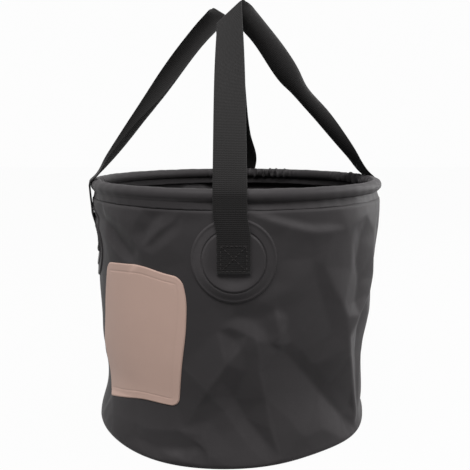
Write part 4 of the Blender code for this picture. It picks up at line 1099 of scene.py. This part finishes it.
def make_seam_tape(wall, width, material):
    """The tape over the upright seam: rings of its flat section follow the wall from foot to bulge.

    The section thins towards its edges as 1 - 0.7 s^12, and the edges waver by a quarter millimetre.
    """
    heights = np.linspace(CORNER_RADIUS + 1.5 * MM, BULGE_HEIGHT - 1.5 * MM, 150)
    side = np.linspace(-1.0, 1.0, 21)
    lift = TAPE_THICKNESS * (1.0 - 0.7 * np.abs(side) ** 12)
    sideways = np.concatenate([side, side[::-1]]) * width / 2
    offset = np.concatenate([lift, np.zeros_like(side)]) + WELD_GAP
    edge = np.sign(sideways) * (np.abs(sideways) > width * 0.49)
    waver = 0.25 * MM * np.sin(heights / (2.7 * MM))[:, None] * edge
    turn = np.degrees((sideways + waver) / RIM_RADIUS)
    rings = wall.point(SEAM_AZIMUTH + turn, heights[:, None], offset)
    across = np.concatenate([sideways, sideways[:1]]) + width / 2
    mesh = ring_mesh("wall_seam_tape", rings, across, heights)
    on_folding_wall(add_piece(mesh, material, ("seam_tape",)))


def web_section(points):
    """The webbing's section as shares of half its width and half its thickness, with round selvedges."""
    across = np.sin(np.linspace(-math.pi / 2, math.pi / 2, points))
    thick = 0.25 + 0.75 * np.sqrt(np.maximum(1.0 - np.abs(across) ** 14, 0.0))
    return np.concatenate([across, across[::-1]]), np.concatenate([thick, -thick[::-1]])


def ribbon_mesh(name, centres, halves, normals, thickness, cup=0.0, curl=0.0, lean=0.0):
    """Webbing: its section, spanned by half-width vectors and normals, is carried along a path.

    The selvedges lie lower than the middle by the cup, in a parabola. A curl c bends the section into
    an arc of c radians on each side, where the share t of the half width lies at sin(ct)/c across and
    (1 - cos(ct))/c down, and the lean moves the section sideways by a share of its half width.
    """
    across, thick = web_section(15)
    given = (thickness, cup, curl, lean)
    thickness, cup, curl, lean = (np.broadcast_to(each, len(centres))[:, None] for each in given)
    curl = np.maximum(curl, 1e-4)
    sunk = cup * across**2 + (1.0 - np.cos(curl * across)) / curl * HALF_WEB
    sideways = np.sin(curl * across) / curl + lean
    raised = thick * thickness / 2 - sunk
    rings = centres[:, None] + halves[:, None] * sideways[..., None] + normals[:, None] * raised[..., None]
    side = (across + 1.0) * HALF_WEB
    return ring_mesh(name, rings, np.concatenate([side, side[:1]]), running_length(centres))


def strap_radius(wall, azimuth, height):
    """The webbing's middle radius below the rim: on the disc, then out to the rim's outside.

    On the way out it follows the mean of a straight line and a smoothstep.
    """
    disc_top = PATCH_HEIGHT + DISC_RADIUS
    on_disc = wall.smooth_radius(azimuth, np.minimum(height, disc_top)) + DISC_THICKNESS + FIT + WEB / 2
    way = (height - disc_top) / (RIM_HEIGHT - disc_top)
    share = (smoothstep(0.0, 1.0, way) + np.clip(way, 0.0, 1.0)) / 2
    return on_disc + (STRAP_AT_RIM - on_disc) * share


# How much lower the selvedges of a sewn end lie than its middle, so that it follows the round wall
STRAP_CUP = 0.6 * MM

# From the fold's top, which is this far over the sewn end's edge, the webbing is one layer
END_FOLD = 1.6 * MM


def sewn_azimuth(place, heights):
    """The webbing's azimuth from its sewn place up to where it crosses the rim."""
    sewn, rim = SEWN_AZIMUTHS[place], STRAP_AZIMUTHS[place]
    return sewn + (rim - sewn) * smoothstep(PATCH_HEIGHT + 17.0 * MM, HEM_END, heights)


def make_strap_end(wall, place, material):
    """The sewn webbing end: a ribbon up the patch, thicker where its cut end is folded under."""
    fold_top = STRAP_END + END_FOLD
    folded_part = np.linspace(STRAP_END, fold_top + 0.8 * MM, 12)
    single_part = np.linspace(fold_top + 1.5 * MM, HEM_END - 0.05 * MM, 60)
    heights = np.concatenate([folded_part, single_part])
    folded = 1.0 - smoothstep(fold_top - 0.6 * MM, fold_top + 0.4 * MM, heights)
    rounded = np.sqrt(np.clip((heights - STRAP_END) / (0.7 * MM), 0.0, 1.0))
    thickness = (WEB + 0.5 * MM * folded) * (0.55 + 0.45 * rounded)
    azimuths = sewn_azimuth(place, heights)
    out = outward(azimuths)
    centres = out * (strap_radius(wall, azimuths, heights) + 0.25 * MM * folded)[:, None]
    centres[:, 2] = heights
    cup = STRAP_CUP * (1.0 - smoothstep(PATCH_HEIGHT + DISC_RADIUS, HEM_END, heights))
    halves = along_rim(azimuths) * HALF_WEB
    mesh = ribbon_mesh(f"webbing_end_{place}", centres, halves, out, thickness, cup)
    on_folding_wall(add_piece(mesh, material, (f"strap_end_{place}",)))


# The box seam keeps this far inside the webbing's sides and above its end
SEAM_MARGIN = 3.0 * MM
SEAM_FOOT = 2.2 * MM

# Stitches follow each other at this many times their length
STITCH_STEP = 1.18


def seam_stitches(stitch):
    """Middles and directions of the stitches round a square and along its two diagonals."""
    half = HALF_WEB - SEAM_MARGIN
    corners = np.array([(-half, 0.0), (half, 0.0), (half, 2 * half), (-half, 2 * half)])
    lines = [(corners[i], corners[j]) for i, j in ((0, 1), (1, 2), (2, 3), (3, 0), (0, 2), (1, 3))]
    middles, ways = [], []
    for start, end in lines:
        count = max(int(round(np.linalg.norm(end - start) / (stitch * STITCH_STEP))), 1)
        shares = (np.arange(count) + 0.5) / count
        middles += [start + (end - start) * share for share in shares]
        ways += [unit(end - start)] * count
    return np.array(middles), np.array(ways)


def make_box_seam(wall, place, azimuth, stitch, thread, material):
    """The box seam: each stitch is a small capsule that lies on the webbing.

    A stitch is rings of an ellipse along its length, swollen in the middle and sunk at both ends.
    """
    middles, ways = seam_stitches(stitch)
    sides = np.stack([-ways[:, 1], ways[:, 0]], axis=-1)
    t = np.linspace(-1.0, 1.0, 7)
    around = np.arange(6) * math.pi / 3
    swell = np.sqrt(1.0 - (0.97 * t) ** 2)[:, None]
    flat = middles[:, None, None] + ways[:, None, None] * (t * stitch / 2)[None, :, None, None]
    flat = flat + sides[:, None, None] * (swell * np.cos(around) * thread / 2)[None, :, :, None]
    rise = swell * np.sin(around) * thread / 2 + (swell - 0.6) * thread * 0.35
    turn, height = flat[..., 0], STRAP_END + SEAM_FOOT + flat[..., 1]
    radius = strap_radius(wall, azimuth, height) + WEB / 2 + rise - STRAP_CUP * (turn / HALF_WEB) ** 2
    points = outward(azimuth) * radius[..., None] + along_rim(azimuth) * turn[..., None]
    points[..., 2] = height
    count, rows, columns = points.shape[:3]
    # The corners are taken the other way round than skin_quads gives them, so that faces point outwards
    quads = skin_quads(rows, columns)[2][:, [0, 3, 2, 1]]
    first = np.arange(count)[:, None] * rows * columns
    faces = (quads[None] + first[..., None]).reshape(-1, 4).tolist()
    faces += (np.arange(columns) + first).tolist()
    faces += (np.arange(rows * columns - 1, (rows - 1) * columns - 1, -1) + first).tolist()
    mesh = bpy.data.meshes.new(f"box_stitches_{place}")
    mesh.from_pydata(points.reshape(-1, 3), [], faces)
    mesh.shade_smooth()
    on_folding_wall(add_piece(mesh, material, (f"box_seam_{place}",)))


def square_to(vectors, way):
    """Unit vectors along the part of vectors that is square to way."""
    return unit(vectors - way * np.sum(vectors * way, axis=-1, keepdims=True))


def taut_line(start, corner, end):
    """Points from the rim's outside over its tube, on with a sag, and round a corner to the crease.

    The arc over a tube of radius r ends at the angle a + asin(r / L), where L is the corner's
    distance from the tube's centre and a its angle from the vertical. The last stretch is quadratic.
    From the arc on, a point at the share u of the way hangs lower by LEG_SAG * 27/4 * u * (1 - u)^2.
    """
    radius = STRAP_AT_RIM - RIM_RADIUS
    centre = start * np.array([RIM_RADIUS / STRAP_AT_RIM, RIM_RADIUS / STRAP_AT_RIM, 1.0])
    inward = (corner - centre) * np.array([1.0, 1.0, 0.0])
    far = np.linalg.norm(inward)
    high = corner[2] - centre[2]
    tilt = math.atan2(far, high) + math.asin(radius / math.hypot(far, high))
    angles = np.linspace(0.0, tilt, 16)[:, None]
    begin = unit(start - centre)
    way = unit(begin * (1.0 - angles / tilt) - unit(inward) * angles / tilt)
    arc = centre + way * radius * np.cos(angles) + upward(radius) * np.sin(angles)
    bend = corner + (arc[-1] - corner) * 0.3
    t = np.linspace(0.0, 1.0, 40)[1:, None]
    turned = bend * (1.0 - t) ** 2 + corner * 2.0 * t * (1.0 - t) + end * t**2
    line = np.concatenate([arc, arc[-1] + (bend - arc[-1]) * t, turned])
    length, arc_length = running_length(line), running_length(arc)[-1]
    u = np.clip((length - arc_length) / (length[-1] - arc_length), 0.0, 1.0)
    line[:, 2] -= LEG_SAG * 27.0 / 4.0 * u * (1.0 - u) ** 2
    return line


def leg_sections(leg, fold_axis, skew, shares):
    """Sections of a handle's leg: a cubic curve, or a taut line, from the rim to the crease.

    The width turns from along the rim to square to the leg in the crease's plane, and near the
    crease its ends are mitred to it.
    """
    crease_end = fold_axis - leg["inner"] * FOLD_RADIUS
    into_crease = leg["travel"] * leg["up"]
    a, b = leg["start"], leg["start"] + upward(RIM_LEAD)
    c, d = crease_end - into_crease * CREASE_LEAD, crease_end
    t = shares[:, None]
    rest = 1.0 - t
    if leg["up"] > 0.0:
        places = a * rest**3 + b * 3.0 * rest**2 * t + c * 3.0 * rest * t**2 + d * t**3
        travel = unit((b - a) * rest**2 + (c - b) * 2.0 * rest * t + (d - c) * t**2)
    else:
        line = taut_line(a, c, d)
        along = running_length(line)
        places = np.stack([np.interp(shares * along[-1], along, line[:, i]) for i in range(3)], axis=-1)
        travel = -unit(np.gradient(places, axis=0))
    blend = smoothstep(*leg["twist"], t)
    wide = square_to(leg["rim_wide"] * (1.0 - blend) + leg["wide"] * blend, travel)
    reach = np.linalg.norm(crease_end - places, axis=-1, keepdims=True)
    mitre = np.maximum(1.0 - reach / (2.0 * abs(skew) * HALF_WEB), 0.0)
    return places, (wide + travel * skew * mitre) * HALF_WEB, unit(np.cross(travel, wide))


# Points of the webbing's path between the hem and the rim, on each leg
LOW_POINTS = 8


def handle_legs(spec, azimuths, top, crease):
    """What each leg of a handle starts from: its place at the rim, its directions and its twist.

    Both legs meet the crease at the same slant, one going up to it and one down from it.
    """
    starts = [outward(a) * STRAP_AT_RIM + upward(RIM_HEIGHT) for a in azimuths]
    slant = float(unit(top - starts[0]) @ crease)
    level = math.sqrt(1.0 - slant * slant)
    legs = []
    for start, azimuth, twist, up in zip(starts, azimuths, spec["twist_shares"], (1.0, -1.0)):
        travel = crease * slant + square_to(top - start, crease) * level * up
        wide = square_to(crease, travel)
        rim_wide = along_rim(azimuth)
        rim_wide = rim_wide * np.sign(rim_wide @ wide)
        leg = {"start": start, "travel": travel, "wide": wide, "inner": np.cross(travel, wide)}
        legs.append(leg | {"rim_wide": rim_wide, "twist": twist, "up": up})
    return legs, slant / level


def handle_path(wall, spec):
    """Centres, half-width vectors and normals of one handle, from one hem over the crease to the other.

    Below the rim a leg follows the wall's side. Over the crease the normal turns at an even rate from
    the first leg's to the second's. The path is worked out at the front and right, then turned.
    """
    azimuths = [STRAP_AZIMUTHS[leg] - spec["turn"] for leg in spec["legs"]]
    crease = unit(np.array(spec["crease_direction_shares"]))
    top = upward(RIM_HEIGHT + HANDLE_RISE) + np.array(spec["crease_offset_shares"]) * WEB_WIDTH
    legs, skew = handle_legs(spec, azimuths, top, crease)
    fold_axis = top + legs[0]["inner"] * FOLD_RADIUS
    first, second = (leg["inner"] for leg in legs)
    whole = math.acos(float(np.clip(first @ second, -1.0, 1.0)))
    angles = np.linspace(0.0, whole, 13)[1:-1][:, None]
    inner = first * np.cos(angles) + square_to(second, first) * np.sin(angles)
    fold_halves = crease * HALF_WEB * math.sqrt(1.0 + skew**2) + np.zeros_like(inner)
    fold = (fold_axis - inner * FOLD_RADIUS, fold_halves, inner)
    shares = np.linspace(0.0, 1.0, 150) ** 0.9
    heights = np.linspace(HEM_END, RIM_HEIGHT, LOW_POINTS + 1)[:-1]
    runs = []
    for leg, azimuth in zip(legs, azimuths):
        rise = leg_sections(leg, fold_axis, skew, shares)
        low = outward(azimuth) * strap_radius(wall, azimuth + spec["turn"], heights)[:, None]
        low[:, 2] = heights
        halves = leg["rim_wide"] * HALF_WEB + np.zeros_like(low)
        normals = np.cross(upward(leg["up"]), leg["rim_wide"]) + np.zeros_like(low)
        runs.append([np.concatenate(pair) for pair in zip((low, halves, normals), rise)])
    joined = [np.concatenate([up, over, down[::-1]]) for up, over, down in zip(runs[0], fold, runs[1])]
    turn = math.radians(spec["turn"])
    sine, cosine = math.sin(turn), math.cos(turn)
    matrix = np.array([[cosine, -sine, 0.0], [sine, cosine, 0.0], [0.0, 0.0, 1.0]])
    return [part @ matrix.T for part in joined]


def make_handle(wall, label, spec, material):
    """One handle with the webbing over both rims, as one ribbon that bends between rim and handle."""
    centres, halves, normals = handle_path(wall, spec)
    # The second leg curls lengthwise, as limp webbing does, and both legs lean a little sideways
    length = running_length(centres)
    crease = length[len(centres) // 2]
    rim = length[-1 - LOW_POINTS]
    after, before = np.clip((length - crease) / (rim - crease), 0.0, 1.0), np.clip(length / crease, 0.0, 1.0)
    curl = np.maximum(through(*np.array(spec["curl"]).T, after) * (after > 0.0), 0.0)
    lean = through(*np.array(spec["lean"]).T, after) * np.sign(halves[:, 2]) * (after > 0.0)
    lean = lean + through(*np.array(spec["first_lean"]).T, before) * (before < 1.0)
    mesh = ribbon_mesh(f"webbing_handle_{label}", centres, halves, normals, WEB, 0.0, curl, lean)
    nodes = [f"strap_rim_{leg}" for leg in spec["legs"]]
    piece = add_piece(mesh, material, (f"handle_{label}", *nodes))
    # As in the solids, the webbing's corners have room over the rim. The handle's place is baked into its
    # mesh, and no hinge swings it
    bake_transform(piece)


WALLS = {}


def shared_wall(context):
    """The wall's surface, worked out once for all pieces that lie on it."""
    strength = round(context.scene.bucket_sizes.fold_strength, 4)
    if strength not in WALLS:
        WALLS[strength] = Wall(strength)
    return WALLS[strength]


class BUCKET_OT_wall(bpy.types.Operator):
    """Make the creased wall and the base"""

    bl_idname = "bucket.make_wall"
    bl_label = "Wall and base"

    def execute(self, context):
        sizes, colours = context.scene.bucket_sizes, context.scene.bucket_colours
        cloth = coated_fabric("coated_polyester_wall", tuple(colours.wall), 0.50)
        make_wall(shared_wall(context), sizes.fabric, cloth)
        make_base(shared_wall(context), sizes.fabric, cloth)
        return {"FINISHED"}


class BUCKET_OT_rim(bpy.types.Operator):
    """Make the gathered rim sleeve and finish the hoop in it"""

    bl_idname = "bucket.make_rim"
    bl_label = "Rim"

    def execute(self, context):
        sizes, colours = context.scene.bucket_sizes, context.scene.bucket_colours
        cloth = coated_fabric("coated_polyester_rim", tuple(colours.wall), 0.46)
        make_sleeve(sizes.fabric, sizes.pucker, sizes.pucker_pitch, cloth)
        tube = moulded_plastic("extruded_polyethylene", tuple(colours.hoop))
        for node in ("rim_hoop", "hoop_joiner"):
            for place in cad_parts[node].material_slots:
                place.material = tube
        return {"FINISHED"}


class BUCKET_OT_patches(bpy.types.Operator):
    """Make the welded round patches under the webbing ends"""

    bl_idname = "bucket.make_patches"
    bl_label = "Patches"

    def execute(self, context):
        colours = context.scene.bucket_colours
        cloth = coated_fabric("coated_polyester_patch", tuple(colours.wall), 0.48)
        for place, azimuth in SEWN_AZIMUTHS.items():
            rise = FRONT_DISH if place == "front" else OTHER_DISH
            make_patch(shared_wall(context), place, azimuth, cloth, rise)
        return {"FINISHED"}


class BUCKET_OT_label(bpy.types.Operator):
    """Make the bare label on the wall"""

    bl_idname = "bucket.make_label"
    bl_label = "Label"

    def execute(self, context):
        film = label_film("thermoplastic_label_film", tuple(context.scene.bucket_colours.label))
        make_label(shared_wall(context), context.scene.bucket_sizes, film)
        return {"FINISHED"}


class BUCKET_OT_tape(bpy.types.Operator):
    """Make the welded tape over the upright seam"""

    bl_idname = "bucket.make_seam_tape"
    bl_label = "Seam tape"

    def execute(self, context):
        film = coated_fabric("welded_seam_tape", tuple(context.scene.bucket_colours.tape), 0.42)
        make_seam_tape(shared_wall(context), context.scene.bucket_sizes.tape_width, film)
        return {"FINISHED"}


class BUCKET_OT_straps(bpy.types.Operator):
    """Make the sewn webbing ends with their box seams"""

    bl_idname = "bucket.make_strap_ends"
    bl_label = "Strap ends"

    def execute(self, context):
        sizes, colours = context.scene.bucket_sizes, context.scene.bucket_colours
        web = woven_webbing("woven_polypropylene_ends", tuple(colours.webbing), sizes.weave_pitch)
        thread = sewing_thread("bonded_nylon_thread", tuple(colours.thread))
        for place, azimuth in SEWN_AZIMUTHS.items():
            make_strap_end(shared_wall(context), place, web)
            make_box_seam(shared_wall(context), place, azimuth, sizes.stitch, sizes.thread, thread)
        return {"FINISHED"}


class BUCKET_OT_handles(bpy.types.Operator):
    """Make the two webbing handles"""

    bl_idname = "bucket.make_handles"
    bl_label = "Handles"

    def execute(self, context):
        sizes, colours = context.scene.bucket_sizes, context.scene.bucket_colours
        web = woven_webbing("woven_polypropylene_handles", tuple(colours.webbing), sizes.weave_pitch)
        for label, spec in HANDLES.items():
            make_handle(shared_wall(context), label, spec, web)
        return {"FINISHED"}


def seen_white(add, share):
    """A factor that is share where the camera or a reflection looks, and 0 for light on the object."""
    path = add("LightPath").outputs
    looks = add("Math", (path["Is Camera Ray"], path["Is Glossy Ray"]), operation="MAXIMUM")
    looks = add("Math", (looks, path["Is Transmission Ray"]), operation="MAXIMUM")
    return add("Math", (looks, share), operation="MULTIPLY")


def white_paper(colour):
    """White studio paper: dull, and plain white where the camera looks, whatever light falls on it."""
    material, add = new_material("white_paper")
    paper = add("BsdfDiffuse", {"Color": shaded(colour, 1.0)})
    white = add("Emission", {"Color": WHITE, "Strength": 1.0})
    add("OutputMaterial", (add("MixShader", (seen_white(add, 0.97), paper, white)),))
    return material


def studio_world(strength):
    """A dim white light from all round, behind which the camera sees near white."""
    world = bpy.data.worlds.new("studio")
    world.use_nodes = True
    world.node_tree.nodes.clear()
    add = partial(add_node, world.node_tree)
    around = add("Background", {"Color": WHITE, "Strength": strength})
    white = add("Background", {"Color": WHITE, "Strength": 0.98})
    add("OutputWorld", (add("MixShader", (seen_white(add, 1.0), around, white)),))
    return world


# The lamps look at this place, and stand at these places with these widths and heights, in metres
LIT_MIDDLE = Vector((0.0, 0.0, 0.15))
KEY_LAMP = ((-0.25, -0.8, 1.4), (1.5, 0.4))
SIDE_LAMP = ((1.2, -0.3, 0.8), (0.5, 0.5))
RIGHT_EDGE_LAMP = ((1.1, 0.55, 0.5), (0.5, 1.1))
LEFT_EDGE_LAMP = ((-1.2, 0.5, 0.5), (0.4, 1.1))
TOP_LAMP = ((0.1, 0.1, 1.5), (0.8, 0.8))

# Half the floor's width in metres, the camera's place left of the middle, and its sensor in millimetres
FLOOR_REACH = 4.0
CAMERA_ASIDE = -0.9 * MM
SENSOR_WIDTH = 36.0


def add_lamp(name, setting, power):
    """A soft rectangular lamp that looks at the bucket's middle."""
    place, size = setting
    lamp = bpy.data.lights.new(name, "AREA")
    lamp.shape = "RECTANGLE"
    lamp.size, lamp.size_y = size
    lamp.energy = power
    holder = bpy.data.objects.new(name, lamp)
    holder.location = place
    holder.rotation_euler = (LIT_MIDDLE - Vector(place)).to_track_quat("-Z", "Y").to_euler()
    bpy.context.scene.collection.objects.link(holder)


class BUCKET_OT_stage(bpy.types.Operator):
    """Make the white floor, the lamps and the camera"""

    bl_idname = "bucket.make_stage"
    bl_label = "Stage"

    def execute(self, context):
        scene = context.scene
        studio = scene.bucket_studio
        mesh = bpy.data.meshes.new("studio_floor")
        corners = [(x * FLOOR_REACH, y * FLOOR_REACH, 0) for x, y in ((-1, -1), (1, -1), (1, 1), (-1, 1))]
        mesh.from_pydata(corners, [], [(0, 1, 2, 3)])
        mesh.materials.append(white_paper(tuple(scene.bucket_colours.floor)))
        floor = bpy.data.objects.new("studio_floor", mesh)
        scene.collection.objects.link(floor)
        scene.world = studio_world(studio.around)
        add_lamp("key_lamp", KEY_LAMP, studio.key)
        add_lamp("side_lamp", SIDE_LAMP, studio.fill)
        add_lamp("right_edge_lamp", RIGHT_EDGE_LAMP, studio.edge)
        add_lamp("left_edge_lamp", LEFT_EDGE_LAMP, studio.edge / 6)
        add_lamp("top_lamp", TOP_LAMP, studio.top)
        camera = bpy.data.objects.new("camera", bpy.data.cameras.new("camera"))
        camera.data.sensor_width = SENSOR_WIDTH
        camera.data.lens = studio.focal
        camera.location = (CAMERA_ASIDE, -studio.camera_distance, studio.camera_height)
        camera.rotation_euler = (math.pi / 2 - studio.camera_tilt, 0.0, 0.0)
        scene.collection.objects.link(camera)
        scene.camera = camera
        scene.view_settings.view_transform = "Standard"
        return {"FINISHED"}


class BUCKET_PT_panel(bpy.types.Panel):
    """Buttons and settings of the bucket"""

    bl_idname = "BUCKET_PT_panel"
    bl_label = "Camp bucket"
    bl_space_type = "VIEW_3D"
    bl_region_type = "UI"
    bl_category = "Bucket"

    def draw(self, context):
        scene = context.scene
        for operator in OPERATORS:
            self.layout.operator(operator.bl_idname)
        for settings in (scene.bucket_sizes, scene.bucket_colours, scene.bucket_studio):
            box = self.layout.box()
            for name in settings.__annotations__:
                box.prop(settings, name)


OPERATORS = (
    BUCKET_OT_stage, BUCKET_OT_wall, BUCKET_OT_rim, BUCKET_OT_patches, BUCKET_OT_label,
    BUCKET_OT_tape, BUCKET_OT_straps, BUCKET_OT_handles,
)
CLASSES = (BucketSizes, BucketColours, StudioSettings, *OPERATORS, BUCKET_PT_panel)


def register():
    for each in CLASSES:
        bpy.utils.register_class(each)
    bpy.types.Scene.bucket_sizes = PointerProperty(type=BucketSizes)
    bpy.types.Scene.bucket_colours = PointerProperty(type=BucketColours)
    bpy.types.Scene.bucket_studio = PointerProperty(type=StudioSettings)


def unregister():
    del bpy.types.Scene.bucket_studio
    del bpy.types.Scene.bucket_colours
    del bpy.types.Scene.bucket_sizes
    for each in reversed(CLASSES):
        bpy.utils.unregister_class(each)


def main():
    register()
    bpy.ops.bucket.make_stage()
    bpy.ops.bucket.make_wall()
    bpy.ops.bucket.make_rim()
    bpy.ops.bucket.make_patches()
    bpy.ops.bucket.make_label()
    bpy.ops.bucket.make_seam_tape()
    bpy.ops.bucket.make_strap_ends()
    bpy.ops.bucket.make_handles()


if __name__ == "__main__":
    main()
